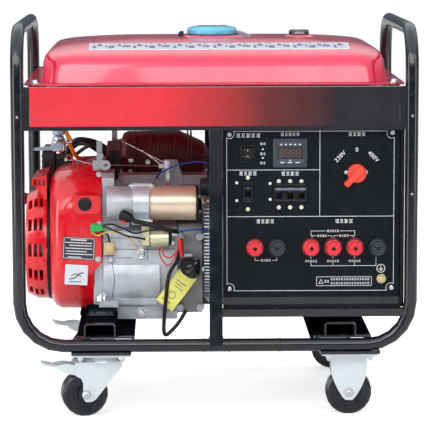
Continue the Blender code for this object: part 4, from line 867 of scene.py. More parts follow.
def make_panel_screws():
    """Screws in the panel's corners, beside the selector and on the breakers."""
    panel, knob = AT["control_panel"], AT["voltage_knob"]
    single, triple = AT["breaker_single"], AT["breaker_triple"]
    pole = 19.5
    screws = Shape()
    for x, z in ((panel.x0 + 11, panel.z1 - 8.5), (panel.x1 - 14.5, panel.z1 - 6.5),
                 (panel.x0 + 11, panel.z0 + 15), (panel.x1 - 15, panel.z0 + 16)):
        screws.screw((x, panel.y0, z), FRONT, 4.6, 2.4)
    for x in (knob.x - 15.5, knob.x + 19):
        screws.screw((x, panel.y0, knob.z + 4.5), FRONT, 3.6, 1.8)
    screws.finish("panel_screws", "bolt_zinc")
    small = Shape()
    for z in (single.z1 + 5.5, single.z0 - 12):
        small.screw((single.x, panel.y0, z), FRONT, 3.8, 1.8)
    for k in (-1, 0, 1):
        for z in (triple.z1 + 2.6, triple.z0 - 9.5):
            small.screw((triple.x + pole * k, panel.y0, z), FRONT, 3.8, 1.8)
    small.finish("breaker_screws", "screw_cream")


def make_dial_text():
    """The voltage numbers round the selector."""
    panel = AT["control_panel"]
    centre_x, centre_z = SELECTOR
    reach = 40.5
    for name, text, turn in (("dial_230", "230V", 45), ("dial_0", "0", 0), ("dial_400", "400V", -45)):
        curve = bpy.data.curves.new(name, "FONT")
        curve.body = text
        curve.size = 10 * MM
        curve.space_character = 1.12
        curve.extrude = 0.15 * MM
        curve.offset = 0.10 * MM
        curve.align_x = "CENTER"
        curve.align_y = "CENTER"
        holder = bpy.data.objects.new(name + "_curve", curve)
        mesh = bpy.data.meshes.new_from_object(holder)
        bpy.data.objects.remove(holder)
        place = Vector((centre_x - sin(radians(turn)) * reach, panel.y0 - 0.1,
                        centre_z + cos(radians(turn)) * reach))
        aim = Matrix.Rotation(radians(-turn), 4, "Y") @ Matrix.Rotation(radians(90), 4, "X")
        mesh.transform(Matrix.Translation(place * MM) @ aim)
        mesh.materials.clear()
        mesh.materials.append(LOOKS["print_white"][0])
        piece = bpy.data.objects.new(name, mesh)
        bpy.context.scene.collection.objects.link(piece)
        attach(piece, "machine")


def seven_segment(shape, x, z, width, height, front, thick):
    """All seven bars of one digit."""
    half = height / 2
    for level in (-half, 0, half):
        shape.bar((x - width / 2 + thick * 0.7, x + width / 2 - thick * 0.7), (front - 0.2, front + 0.1),
                  (z + level - thick / 2, z + level + thick / 2))
    for side in (-width / 2, width / 2):
        for level in (-half, 0):
            shape.bar((x + side - thick / 2, x + side + thick / 2), (front - 0.2, front + 0.1),
                      (z + level + thick * 0.7, z + level + half - thick * 0.7))


def make_meter():
    """The meter's face, its dark window and unlit digits, which glow faintly as painted light."""
    meter = AT["digital_meter"]
    floor_y = meter.y0 + 2.5
    face = Shape()
    outline = rounded((meter.x - 23.3, meter.z - 19.3), (meter.x + 23.3, meter.z + 19.3), 1.5, 3)
    face.prism(outline, "y", floor_y - 0.8, floor_y + 0.3)
    face.finish("meter_face", "meter_face")
    window = Shape()
    outline = rounded((meter.x - 21.5, meter.z - 11), (meter.x + 21.5, meter.z + 11), 1.0, 3)
    window.prism(outline, "y", floor_y - 1.2, floor_y - 0.5)
    window.finish("meter_window", "glass_dark")
    digits = Shape()
    for k in range(4):
        seven_segment(digits, meter.x - 14.4 + 9.6 * k, meter.z, 6.0, 12.5, floor_y - 1.2, 1.25)
    digits.finish("meter_digits", "digit_dim_glow")
    marks = Shape()
    depth = (floor_y - 1.0, floor_y - 0.6)
    for k in range(5):
        marks.bar((meter.x - 17 + 8 * k, meter.x - 14 + 8 * k), depth, (meter.z + 13.6, meter.z + 15.6))
    for k in range(3):
        marks.bar((meter.x - 17 + 13 * k, meter.x - 10 + 13 * k), depth, (meter.z - 17.6, meter.z - 16.0))
    pointer = [(meter.x - 1.6, meter.z - 12), (meter.x + 1.6, meter.z - 12), (meter.x, meter.z - 14.8)]
    marks.prism(pointer, "y", floor_y - 1.1, floor_y - 0.6)
    marks.finish("meter_marks", "print_white")


def make_switch_marks():
    """Position marks on the rocker, and the ring and lines on the breakers."""
    rocker = AT["engine_rocker"]
    marks = Shape()
    marks.bar((rocker.x - 0.5, rocker.x + 0.5), (rocker.y0 + 0.3, rocker.y0 + 2.0),
              (rocker.z + 4.0, rocker.z + 7.2))
    marks.hoop((rocker.x, rocker.y0 + 0.9, rocker.z - 5.8), (0, 1, 0.13), 1.7, 0.35, 16, 6)
    marks.finish("rocker_marks", "print_white", "engine_rocker")
    single = AT["breaker_single"]
    ring = Shape()
    ring.hoop((single.x, single.y0, single.z - 13.4), BACK, 4.4, 0.5, 20, 6)
    ring.finish("breaker_single_mark", "pale_plastic")
    triple = AT["breaker_triple"]
    lip = Shape()
    for z in (triple.z0 + 3.2, triple.z1 - 2.6):
        lip.bar((triple.x0 + 2, triple.x1 - 2), (triple.y0 - 0.25, triple.y0 + 0.2), (z - 0.4, z + 0.4))
    lip.finish("breaker_triple_lines", "pale_plastic")


def make_post_details():
    """Flutes and a dark socket on each binding-post nut, and the collar behind it; the red collars take a
    darker red as painted shade.
    """
    for tag in POSTS:
        nut = AT["nut_" + tag]
        dark = tag in ("single_neutral", "phase_n")
        flutes = Shape()
        barrel = 11.6
        for k in range(24):
            turn = 2 * pi * k / 24
            x, z = nut.x + cos(turn) * barrel, nut.z + sin(turn) * barrel
            flutes.rod((x, nut.y0 + 1.0, z), (x, nut.y1 - 5.4, z), 0.75, 6)
        flutes.hoop((nut.x, nut.y0 + 0.2, nut.z), BACK, 7.6, 0.6, 24, 6)
        for k in range(3):
            turn = radians(30 + 120 * k)
            away = Vector((cos(turn), 0, sin(turn)))
            base = Vector((nut.x, nut.y0, nut.z))
            flutes.rod(base + away * 4.4, base + away * 9.4, 0.7, 6)
        flutes.finish(f"nut_flutes_{tag}", "plastic" if dark else "terminal_red", "nut_" + tag)
        collar = Shape()
        profile = [(14.0, 0), (16.9, 0), (16.1, 5.3), (14.4, 5.75)]
        collar.turned((nut.x, nut.y1 + 5.8, nut.z), FRONT, profile, 40)
        collar.finish(f"nut_collar_{tag}", "plastic" if dark else "terminal_red_shaded")
        socket = Shape()
        socket.turned((nut.x, nut.y0 - 0.15, nut.z), BACK, [(2.6, 0), (2.6, 1.2)], 16)
        socket.finish(f"nut_socket_{tag}", "wire_black", "nut_" + tag)


# ---------------------------------------------------------------- engine

def make_barrel_fins():
    """Cooling fins round the barrel and head, and the spark plug with its cap and lead."""
    fins = Shape()
    for k in range(8):
        y = 116 + 6.6 * k
        fins.prism(rounded((-184, 256), (-66, 364), 12, 3), "y", y, y + 2.0)
    fins.finish("barrel_fins", "alloy")
    plug = Shape()
    plug.rod((-125, 200, 352), (-125, 214, 384), 6.5, 16)
    plug.hose(3.2, 10, (-125, 212, 380), (-125, 222, 396), (-160, 216, 410), (-205, 150, 415),
              (-215, 100, 418))
    plug.finish("spark_lead", "wire_black")
    cover = Shape()
    for x in (-152, -96):
        for z in (286, 339):
            cover.bolt((x, 217.8, z), BACK, 7, 4, 5.2)
    cover.finish("valve_cover_bolts", "bolt_zinc")


def make_engine_block():
    """The cast block and the governor tower that stand behind the starter."""
    block = Shape()
    block.bar((-165, -10), (-35, 18), (345, 402))
    block.bar((-186, -160), (-30, 10), (345, 392))
    for k in range(5):
        z = 352 + 8 * k
        block.bar((-163, -12), (-37.5, -33), (z, z + 2.5))
    tower = [(-102, 380), (-98, 400), (-90, 413), (-84, 428), (-64, 430), (-60, 414), (-55, 402), (-52, 380)]
    block.prism(tower, "y", -40, -26)
    block.rod((-74, -41, 418), (-74, -24, 418), 8.5, 20)
    block.rod((-172, -8, 392), (-150, -8, 392), 12, 20)
    block.finish("engine_block", "alloy", bevel=1.5)
    canister = Shape()
    canister.turned((-24, -70, 384), RIGHT, [(12, 0), (15.5, 2), (16, 6), (16, 34), (14.5, 38)], 32)
    canister.finish("breather_canister", "grey_plastic")
    Shape().bolt((-20.5, -100, 362), RIGHT, 9, 7, 6.5, 5).finish("adapter_bolt", "brass")


def make_case_details():
    """Belly, ledge, seams, bosses and bolts on the crankcase and its cover."""
    cover = AT["crankcase_cover"]
    front = -118.0
    cast = Shape()
    belly = [(-6, 252), (0.5, 251), (4.5, 243), (7, 231), (8, 220), (7.5, 206), (5, 196), (0, 190), (-6, 189)]
    cast.prism([(front - out, z) for out, z in belly], "x", -196.5, -96)
    cast.bar((-211, -101), (front - 7, front + 2), (178.8, 190.3))
    cast.bar((-197, -66), (front - 1.6, front + 1), (297.5, 301))
    for x, z in ((-190, 288), (-73, 182), (-73, 290), (-184, 260)):
        cast.rod((x, front - 3.5, z), (x, front + 2, z), 6.4, 18)
    for x in (-60, -25):
        for z in (172, 300):
            cast.rod((x, cover.y0 - 2.5, z), (x, cover.y0 + 6, z), 6.6, 16)
    cast.rod((-70, -121, 266.5), (-38, -121, 266.5), 4.5, 14)
    cast.finish("case_front", "alloy", bevel=0.6)
    side = Shape()
    side.bar((-214.7, -197.0), (-112, 112), (176, 262))
    side.bar((-214.7, -197.0), (-117, -110), (182, 256))
    side.finish("case_side", "alloy", bevel=2.0)
    seams = Shape()
    depth = (front - 0.35, front + 0.5)
    seams.ribbon([(-196, 278), (-160, 278.5), (-120, 277.5), (-68, 278.5)], 1.0, *depth)
    seams.ribbon([(-172, 262.5), (-145, 262.5)], 1.0, *depth)
    seams.ribbon([(-118, 259), (-118, 284)], 1.0, *depth)
    wave = [(-179.5 + 2.0 * sin(z / 11), front - 0.1, z) for z in range(286, 254, -6)]
    wave += [(-179.5 + 2.0 * sin(z / 11), front - out - 0.1, z) for out, z in belly[1:-1]]
    seams.tube(flowing(wave, 3), 0.55, 6)
    seams.finish("case_seams", "grey_plastic")
    bolts = Shape()
    for x, z in ((-190, 288), (-73, 182), (-73, 290), (-184, 260)):
        bolts.bolt((x, front - 3.5, z), FRONT, 8, 4)
    bolts.bolt((-130.5, -128.5, 165), FRONT, 14, 6, 9.5)
    for y in (-142, 142):
        bolts.bolt((-193.7, y, 190), UP, 12, 7, 9, 6)
    bolts.finish("case_bolts", "bolt_zinc")
    gasket = Shape()
    outline = [(-113, 162), (-113, 305.5), (-101, 323), (-60, 327), (0, 346), (60, 346), (113, 311),
               (113, 162)]
    gasket.prism(outline, "x", cover.x0 - 0.6, cover.x0 + 0.6)
    gasket.finish("cover_gasket", "hose_black")
    rim = Shape()
    for y, z in ((-104, 172), (-106, 240), (-104, 300), (-60, 318), (0, 338), (60, 338), (104, 300),
                 (104, 172)):
        rim.bolt((cover.x1, y, z), RIGHT, 8, 4)
    rim.finish("cover_bolts", "bolt_zinc")


def make_starter_details():
    """Flange ring with its ears, end plate, beads and bolts on the starter and solenoid."""
    starter, solenoid = AT["starter_motor"], AT["starter_solenoid"]
    y, z = starter.y, starter.z
    flange = Shape()
    flange.turned((-143.3, y, z), RIGHT, [(33, 0), (34.6, 0.6), (34.6, 28.2), (33.8, 29.2), (30, 29.4)], 56)
    for side in (-1, 1):
        flange.bar((-147, -110), (y + side * 8 - 5, y + side * 8 + 5), (z + 28, z + 35.5))
    flange.rod((-146, y - 26, z - 30), (-113, y - 26, z - 30), 6.0, 16)
    flange.finish("starter_flange", "alloy_bright", bevel=0.6)
    cap = Shape()
    cap.turned((starter.x1 - 5.5, y, z), RIGHT, [(32, 0), (32, 3.4), (29, 5.4), (27, 6.2), (9, 6.4), (8, 9.5),
                                                     (5, 10)], 32)
    cap.finish("starter_end_cap", "plastic")
    beads = Shape()
    beads.hoop((-111.5, y, z), RIGHT, 30.4, 0.7, 40, 6)
    beads.hoop((-34, y, z), RIGHT, 30.6, 0.7, 40, 6)
    beads.finish("starter_beads", "yellow_zinc")
    bolts = Shape()
    for dy, dz in ((-21, -12), (-21, 14), (19, 0)):
        bolts.bolt((starter.x1 - 1, y + dy, z + dz), RIGHT, 6, 4, 4.6)
    for side in (-1, 1):
        bolts.rod((-151, y + side * 8, z + 32.5), (-106, y + side * 8, z + 32.5), 2.6, 12)
        bolts.bolt((-110, y + side * 8, z + 32.5), RIGHT, 6, 3.5, 4.2)
    bolts.bolt((-113, y - 26, z - 30), RIGHT, 7, 4, 5)
    bolts.bolt((-27.6, y, z - 3), RIGHT, 8, 6, 5)
    bolts.finish("starter_bolts", "bolt_zinc")
    end = Shape()
    end.turned((-80.8, solenoid.y, 300.5), RIGHT, [(13.6, 0), (13.6, 4), (10, 6)], 24)
    end.hoop((-113.5, -137.5, 300.5), RIGHT, 14.3, 0.8, 28, 6)
    end.finish("solenoid_cap", "plastic")


def make_muffler_details():
    """Bolts, ribs and outlet screen on the silencer."""
    muffler = AT["muffler"]
    bolts = Shape()
    for x, z in ((-149, 424), (-118, 420), (-150, 402), (-60, 402)):
        bolts.bolt((x, muffler.y0 + 3.2, z), FRONT, 6, 3.5, 4.5)
    bolts.finish("muffler_bolts", "bolt_zinc")
    ribs = Shape()
    over = ((22, 398), (21, 404), (21, 452), (27, 463), (40, 467.6), (130, 467.6), (149, 462), (155, 450),
            (155, 404))
    for x in (-142, -128, -112, -98, -68, -44, -38):
        ribs.tube([(x, y, z) for y, z in over], 1.5, 8)
    ribs.finish("muffler_ribs", "muffler")
    screen = Shape()
    x, z = -110, 430
    for k in range(-2, 3):
        offset = 4 * k
        reach = sqrt(max(0, 120 - offset * offset))
        screen.rod((x + offset, 186, z - reach), (x + offset, 186, z + reach), 0.5, 6)
        screen.rod((x - reach, 187, z + offset), (x + reach, 187, z + offset), 0.5, 6)
    screen.finish("muffler_screen", "steel")


def make_shroud_details():
    """Plug, nameplate, sticker and bolts on the fan housing, and the recoil cover's ring and ribs."""
    shroud = AT["fan_shroud"]
    plug = Shape()
    plug.turned((-228.6, -130.9, 361), FRONT, [(12.2, -0.4), (12.2, 1.0), (10.6, 2.0), (4, 2.2)], 32)
    plug.finish("shroud_plug", "rubber")
    plate = Shape()
    tilt = radians(3)

    def slanted(centre, half_x, half_z):
        corners = rounded((-half_x, -half_z), (half_x, half_z), 1.2, 2)
        return [(centre[0] + a * cos(tilt) + b * sin(tilt), centre[1] - a * sin(tilt) + b * cos(tilt))
                for a, b in corners]

    wall = shroud.y0 + 3
    plate_x, plate_z = -240, 281.5
    plate.prism(slanted((plate_x, plate_z), 28.5, 20), "y", wall - 0.7, wall + 2)
    plate.finish("name_plate", "label_dark")
    lines = Shape()
    for k, (half, offset) in enumerate(((14, 0), (24, 0), (20, 3), (24, 0), (18, -4), (24, 0), (12, -8))):
        x, z = plate_x + offset, plate_z + 15.2 - 5.1 * k
        up = (1.6 if k else 2.2) / 2
        drop = half * tilt
        line = [(x - half, z - up + drop), (x + half, z - up - drop), (x + half, z + up - drop),
                (x - half, z + up + drop)]
        lines.prism(line, "y", wall - 0.85, wall - 0.4)
    lines.ribbon(slanted((plate_x, plate_z), 26.8, 18.3), 0.9, wall - 0.85, wall - 0.4, True)
    lines.finish("name_plate_lines", "print_white")
    sticker = Shape()
    sticker.prism(slanted((-245, 234), 20.3, 18), "y", wall - 0.6, wall + 2)
    sticker.finish("shroud_sticker", "label_white")
    strokes = Shape()
    strokes.ribbon([(-258, 226), (-247, 229), (-240, 236), (-232, 238)], 2.0, wall - 0.8, wall - 0.3)
    strokes.ribbon([(-254, 233), (-246, 236), (-236, 231)], 1.6, wall - 0.8, wall - 0.3)
    strokes.bar((-258, -236), (wall - 0.8, wall - 0.3), (221, 222.4))
    strokes.finish("sticker_strokes", "label_dark")
    bolts = Shape()
    for x, z in ((-203.5, 413), (-203.5, 325), (-206, 262)):
        bolts.bolt((x, -119.5 if z > 400 else -128, z), FRONT, 7, 3.5, 5)
    for k in range(3):
        turn = radians(60 + 120 * k)
        bolts.bolt((-297.5, cos(turn) * 94, RECOIL_Z + sin(turn) * 94), LEFT, 6, 3)
    bolts.finish("shroud_bolts", "bolt_zinc")
    ring = Shape()
    ring.turned((-300, 0, RECOIL_Z), RIGHT, [(96, 2), (102.4, 2.4), (102.4, 5.8), (96, 6.2)], 56)
    ring.finish("recoil_ring", "plastic")
    middle = Vector((-336.4, 0, RECOIL_Z))
    hub = Shape()
    hub.turned((-337, 0, RECOIL_Z), LEFT, [(26, -0.5), (26, 1.2), (22, 3.2), (10, 4.0)], 32)
    for k in range(12):
        turn = 2 * pi * k / 12
        away = Vector((0, cos(turn), sin(turn)))
        hub.rod(middle + away * 34, middle + away * 80, 1.6, 8)
    hub.finish("recoil_ribs", "red_paint")


def make_fuel_line():
    """Sediment bowl, clamp, orange fuel pipe and the black vent hoses."""
    x, y = -277.0, -62.0
    rings = Shape()
    rings.hoop((x, y, 463), UP, 12.6, 1.3, 28)
    rings.hoop((x, y, 470), UP, 11.5, 1.2, 28)
    for k in range(8):
        turn = 2 * pi * k / 8
        away = Vector((cos(turn), sin(turn), 0))
        rings.rod(Vector((x, y, 450)) + away * 11.8, Vector((x, y, 462)) + away * 12.6, 1.3, 8)
    rings.bolt((x, y, 448.4), DOWN, 8, 4)
    rings.finish("fuel_bowl_rings", "bowl_silver")
    collar = Shape()
    profile = [(9.5, 478), (11, 480), (11, 486), (8, 489), (7.5, 497), (9, 499), (9, 503)]
    collar.turned((x, y, 0), UP, profile, 8)
    collar.finish("fuel_tap_collar", "clamp_blue")
    pipe = Shape()
    pipe.hose(3.6, 12, (-254, y, 466.5), (-262, -61, 480), (-264.5, -58, 487), (-261, -48, 474),
              (-258, -40, 460), (-247, 0, 432), (-232, 60, 424), (-206, 120, 418), (-190, 176, 404))
    pipe.finish("fuel_pipe", "hose_orange")
    hoses = Shape()
    hoses.hose(5.2, 14, (-268, 70, 428), (-262, 66, 446), (-248, 62, 457), (-228, 62, 456), (-208, 64, 449),
               (-192, 66, 438))
    hoses.hose(3.6, 12, (-254, 84, 426), (-240, 72, 438), (-224, 66, 447), (-206, 66, 444), (-192, 70, 430))
    hoses.hose(4.0, 12, (-262, 150, 434), (-246, 130, 444), (-228, 112, 442), (-210, 118, 430),
               (-190, 130, 420))
    hoses.finish("vent_hoses", "hose_black")


def stretch_to(piece):
    """Takes a piece off its body and bakes its place into its mesh."""
    piece.parent = None
    del piece["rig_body"]
    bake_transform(piece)


def swinging_rod(name, start, end, radius):
    """A straight rod between two points, taken off its body."""
    rod = Shape()
    rod.tube([start, end], radius, 8)
    stretch_to(rod.finish(name, "bolt_zinc"))


def make_governor_links():
    """The control rods between the throttle lever, the governor arm and the carburettor side."""
    arm, lever = AT["governor_arm"], AT["throttle_lever"]
    eyelet = Vector((-165.5, -4, 461.6))
    end = Vector((arm.x0 + 2, arm.y, arm.z1 - 12))
    swinging_rod("throttle_rod", Vector((lever.x1 - 1, lever.y, lever.z0 + 9)), end, 0.9)
    swinging_rod("governor_rod", eyelet, end + Vector((8, 0, 6)), 0.9)
    swinging_rod("governor_spring", eyelet.lerp(end, 0.45) + Vector((6, 0, 3)), end + Vector((4, -2, 1)), 0.9)
    elbow = Vector((-240, -96, 435))
    swinging_rod("choke_rod_front", elbow, Vector((lever.x0 + 2, lever.y, lever.z0 + 10)), 1.1)
    choke = Shape()
    choke.tube([elbow + Vector(RIGHT), (-262, -94, 436.5)], 1.1, 8)
    choke.rod((-263, -94, 434), (-263, -94, 440), 2.2, 10)
    choke.finish("choke_rod", "bolt_zinc")
    post = Shape()
    post.bar((-183, -173), (-1.5, 1.5), (404, 488))
    post.rod((-178, -4, 392), (-178, -4, 410), 6.5, 16)
    post.bar((-180, -163), (-5.5, -4), (458, 465))
    post.hoop((-165.5, -5, 461.6), BACK, 3.6, 1.1, 20)
    post.finish("control_post", "alloy_dark", bevel=0.4)
    Shape().bar((-191, -166), (-14, -3), (443, 462)).finish("control_slide", "muffler", bevel=2.0)
    Shape().bar((-189, -169), (-12, -2), (392, 444)).finish("control_stem", "plastic", bevel=1.0)
    sleeve = Shape()
    sleeve.turned((arm.x + 6, arm.y, arm.z1 - 23), UP, [(9, 0), (10, 1), (10, 22), (8.6, 23)], 28)
    sleeve.finish("governor_sleeve", "alloy_bright", "governor_arm")


def make_wiring():
    """Starter, solenoid and sensor leads, their boots, plug and clips."""
    black, blue, red, yellow = Shape(), Shape(), Shape(), Shape()
    black.turned((-167, -146, 345), (1, -0.1, -0.4), [(4.5, 0), (9.5, 3), (10.5, 9), (9.5, 18), (6, 25)], 20)
    black.hose(4.3, 12, (-150, -149, 338), (-136, -152, 332), (-116, -152, 328), (-98, -151, 322),
               (-80, -148, 316), (-62, -142, 312))
    black.hose(1.6, 10, (-218, -136, 319), (-196, -140, 322), (-176, -150, 316), (-156, -156, 308),
               (-136, -156, 304), (-122, -150, 300))
    black.hose(1.6, 8, (-205, -134, 316), (-190, -134, 308), (-186, -128, 296), (-185, -124, 288))
    black.hose(1.6, 10, (-196, -138, 324), (-180, -140, 326), (-160, -150, 320), (-140, -156, 312),
               (-118, -156, 316), (-96, -150, 318), (-70, -146, 314), (-54, -140, 312))
    black.hose(3.4, 12, (-60, -152, 284), (-66, -152, 262), (-80, -150, 236), (-86, -148, 190),
               (-89.6, -142, 140), (-86, -140, 127), (-74, -138, 136), (-62, -136, 150), (-50, -126, 168))
    black.finish("starter_cables", "wire_black")
    blue.hose(1.6, 8, (-103, -34, 396), (-100, -54, 402), (-90, -68, 412), (-62, -72, 424), (-30, -76, 430),
              (0, -80, 426))
    blue.hose(1.4, 8, (-76, -140, 312), (-60, -146, 314), (-30, -140, 316), (-5, -128, 312))
    blue.finish("signal_wires", "wire_blue")
    red.hose(1.2, 8, (-97, -150, 286), (-95, -153, 270), (-83, -155, 254), (-72, -155, 264), (-62, -154, 288))
    red.hose(1.2, 8, (-93, -150, 284), (-88, -153, 271), (-78, -154, 268), (-68, -153, 276), (-60, -153, 290))
    red.turned((-60.3, -152, 302), (0.1, 0, -1), [(4, 0), (5, 3), (5.2, 16), (4.2, 30), (3.8, 33)], 14)
    red.rod((-163, -156, 334), (-156, -156, 331), 2.4, 10)
    red.hose(1.3, 8, (-262, -94, 440), (-258, -96, 446), (-252, -98, 440), (-250, -100, 430),
             (-253, -104, 424))
    red.finish("red_leads", "wire_red")
    yellow.hose(1.2, 8, (-218, -137, 312), (-206, -140, 306), (-192, -146, 312), (-170, -150, 312),
                (-150, -150, 302), (-136, -146, 286), (-130, -124, 272))
    yellow.finish("sensor_wire", "wire_yellow")
    plug = Shape()
    plug.rings([[(x, y, z) for y, z in rounded((-141, 319 - h), (-141 + 2 * h, 319 + h), 2.4, 3)]
                for x, h in ((-219, 6.5), (-217, 7.4), (-206, 7.4), (-204, 6), (-198, 5.2), (-196, 4.6))])
    plug.finish("wire_plug", "plug_green")
    clip = Shape()
    clip.bar((-195, -176), (-130, -117.5), (270, 292))
    clip.bar((-192, -179), (-133, -129), (274, 288))
    clip.finish("wire_clip", "clip_beige", bevel=1.2)
    sensor = Shape()
    sensor.turned((-130, -117, 269), FRONT, [(10, 0), (10, 2.5), (7.5, 3.2), (6.8, 8), (4, 9)], 24)
    sensor.hoop((-130, -126.5, 269), BACK, 5.4, 1.3, 20)
    sensor.finish("oil_sensor", "bolt_zinc")


def make_tag():
    """The yellow oil tag that hangs from the dipstick, and the dipstick's smooth head."""
    dipstick = AT["oil_dipstick"]
    corners = [Vector(c) for c in ((-103.5, 191.5), (-75.2, 169.7), (-30.6, 227.0), (-58.9, 248.6))]
    y = dipstick.y0 - 2.5
    length = (corners[3] - corners[0]).length
    along = (corners[3] - corners[0]).normalized()
    across = (corners[1] - corners[0]).normalized()

    def spot(u, v, lift=0.0):
        """A point on the bowed sheet, u along it and v across it."""
        point = corners[0] + along * u + across * v
        t = u / length
        return (point.x, y - 3.5 * sin(pi * t) - 1.0 + 10 * t ** 3 + v / 24 - lift, point.y)

    tag = Shape()
    steps = 8
    wide = (corners[1] - corners[0]).length
    rings = []
    for k in range(steps + 1):
        u = length * k / steps
        rings.append([spot(u, 0), spot(u, wide), spot(u, wide, -0.5), spot(u, 0, -0.5)])
    tag.rings(rings)
    tag.finish("oil_tag", "label_yellow", "oil_dipstick")
    marks = Shape()
    for u, v0, v1 in ((50, 8, 28), (45, 8, 24), (40, 10, 28), (9, 6, 24)):
        outline = ((u, v0), (u, v1), (u + 2, v1), (u + 2, v0))
        marks.rings([[spot(a, b, lift) for a, b in outline] for lift in (0.15, -0.3)])
    ring = [spot(24 + 6.5 * cos(2 * pi * k / 16), 17 + 6.5 * sin(2 * pi * k / 16), 0.1) for k in range(16)]
    marks.tube(ring, 0.8, 6, True)
    marks.finish("oil_tag_marks", "tag_print", "oil_dipstick")
    head = Shape()
    cx, cz = -39.5, 242.0
    outline = arc((cx, cz), 15.5, 100, 350, 16) + arc((cx + 10.5, cz + 15), 5, 0, 80, 4)
    layers = ((-121.5, 0.80), (-123, 0.97), (-127, 1.0), (-135, 1.0), (-138.5, 0.90), (-140.6, 0.68),
              (-141.4, 0.35))
    head.rings([[(cx + (x - cx) * share, depth, cz + (z - cz) * share) for x, z in outline]
                for depth, share in layers])
    head.finish("dipstick_head", "plastic_gloss", "oil_dipstick")


# ---------------------------------------------------------------- frame

def make_frame_details():
    """The band's lip and bars round the panel, with painted highlights on the lip and on a strip under the
    panel; weld beads, tube joints and small bolts.
    """
    box = AT["frame"]
    band = AT["front_band"]
    leg = box.x1 - 11.5
    rail_y = box.y1 - 11.5
    tube_r = 11.5
    # The lip is a real fold; its grey paints the highlight along the band's top edge.
    lip = Shape()
    lip.bar((band.x0 - 1, band.x1 + 1), (band.y0 - 0.6, band.y0 + 4), (band.z1 - 0.2, band.z1 + 0.9))
    lip.finish("band_lip_highlight", "alloy_dark")
    surround = Shape()
    panel = AT["control_panel"]
    surround.bar((panel.x1 - 2, leg - tube_r + 1.0), (panel.y0 + 0.6, -238), (192, 504))
    surround.bar((panel.x0, panel.x1), (-243, -236), (188, 195))
    surround.finish("panel_surround", "plastic")
    # A thin bright metal strip along the panel's lower edge: painted highlight of that edge.
    Shape().bar((panel.x0, panel.x1), (-243.6, -242.5), (189.8, 191.0)).finish("panel_sill_highlight", "alloy_bright")
    welds = Shape()
    for side in (-1, 1):
        for end in (-1, 1):
            for z in (506.8, 556):
                path = [(end * (leg - tube_r * 0.86), side * (rail_y + dy), z + dz)
                        for dy, dz in ((-8, -3.5), (-2, -4.0), (4, -3.6), (6.5, 0), (4, 3.6), (-2, 4.0),
                                       (-8, 3.5))]
                welds.tube(flowing(path, 3), 1.6, 6)
        for x in (-10, 12.5):
            welds.tube([(x, side * 244, 140.4), (x, side * 254, 139.8), (x, side * 263, 139)], 1.7, 6)
    welds.finish("frame_welds", "frame_black")
    collar = Shape()
    swell = [(tube_r, -1.6), (tube_r + 0.6, -0.8), (tube_r + 0.6, 0.8), (tube_r, 1.6)]
    for x in (111, -20, 24):
        collar.turned((x, -rail_y, box.z0 + 4.5 + tube_r), RIGHT, swell, 28)
    collar.finish("tube_joints", "frame_black")
    bolts = Shape()
    for z in (527, 392):
        bolts.bolt((leg, -box.y1 + 0.6, z), FRONT, 4, 1.6)
        bolts.bolt((leg, box.y1 - 0.6, z), BACK, 6, 2.5, 4)
    bolts.bolt((-leg, -box.y1 + 0.6, 527), FRONT, 4, 1.6)
    bolts.finish("leg_bolts", "bolt_zinc")


def make_mount_bolts():
    """Nuts, saddles and ribs of the rubber mounts."""
    bolts = Shape()
    for name in ("engine_mount_front", "engine_mount_rear", "alternator_mount_front",
                 "alternator_mount_rear"):
        mount = AT[name]
        bolts.bolt((mount.x, mount.y, mount.z1 + 11.0), UP, 13, 8, 11, 5)
    bolts.finish("mount_nuts", "bolt_zinc")
    saddles = Shape()
    for name in ("engine_mount_front", "engine_mount_rear"):
        mount = AT[name]
        half = mount.x1 - mount.x + 3.2
        arch = [(mount.x - half, 168), (mount.x - half, 177.4), (mount.x - half + 1.6, 179)]
        arch += [(mount.x + half - 1.6, 179), (mount.x + half, 177.4), (mount.x + half, 168)]
        saddles.ribbon(arch, 1.4, mount.y0 - 2, mount.y1 + 2)
    saddles.finish("mount_saddles", "frame_black")
    ribs = Shape()
    for name in ("engine_mount_front", "alternator_mount_front"):
        mount = AT[name]
        for dx in (-12, 12):
            across = (mount.x + dx - 1.5, mount.x + dx + 1.5)
            ribs.bar(across, (mount.y0 - 0.6, mount.y0 + 4), (mount.z0 + 3, mount.z1 - 3))
    ribs.finish("mount_ribs", "rubber", bevel=0.6)


# ---------------------------------------------------------------- casters

def make_caster_bolts():
    """The bolts that hold the casters' plates."""
    bolts = Shape()
    for tag in ("plate_front_left", "plate_rear_left", "fork_front_right", "fork_rear_right"):
        plate = AT["caster_" + tag]
        for x in (plate.x0 + 13, plate.x1 - 13):
            for y in (plate.y0 + 11, plate.y1 - 11):
                bolts.bolt((x, y, plate.z1 - 3.7), DOWN, 10, 5.5, 7, 4)
    bolts.finish("caster_bolts", "bolt_zinc")


def make_wheel(tag, body, yaw):
    """Axle nuts, and the rings and ribs on the wheel's sides."""
    wheel = AT["caster_wheel_" + tag]
    ahead = Vector((cos(yaw), sin(yaw), 0))
    across = Vector((-sin(yaw), cos(yaw), 0))
    hub = Vector((wheel.x, wheel.y, wheel.z))
    nuts, rings = Shape(), Shape()
    for side in (-1, 1):
        nuts.bolt(hub + across * side * 21.4, across * side, 12, 5, 8.2, 2)
        for radius, reach in ((22, 13.0), (29.5, 14.4)):
            rings.hoop(hub + across * side * reach, across, radius, 0.8, 36, 6)
        for k in range(5):
            turn = 2 * pi * k / 5
            spoke = ahead * cos(turn) + Vector(UP) * sin(turn)
            inner = hub + across * side * 11.5 + spoke * 13
            outer = hub + across * side * 13.0 + spoke * 22
            rings.rod(inner, outer, 1.5, 8)
    nuts.finish(f"axle_nut_{tag}", "bolt_zinc", body)
    rings.finish(f"wheel_rings_{tag}", "tyre", "wheel_" + tag)


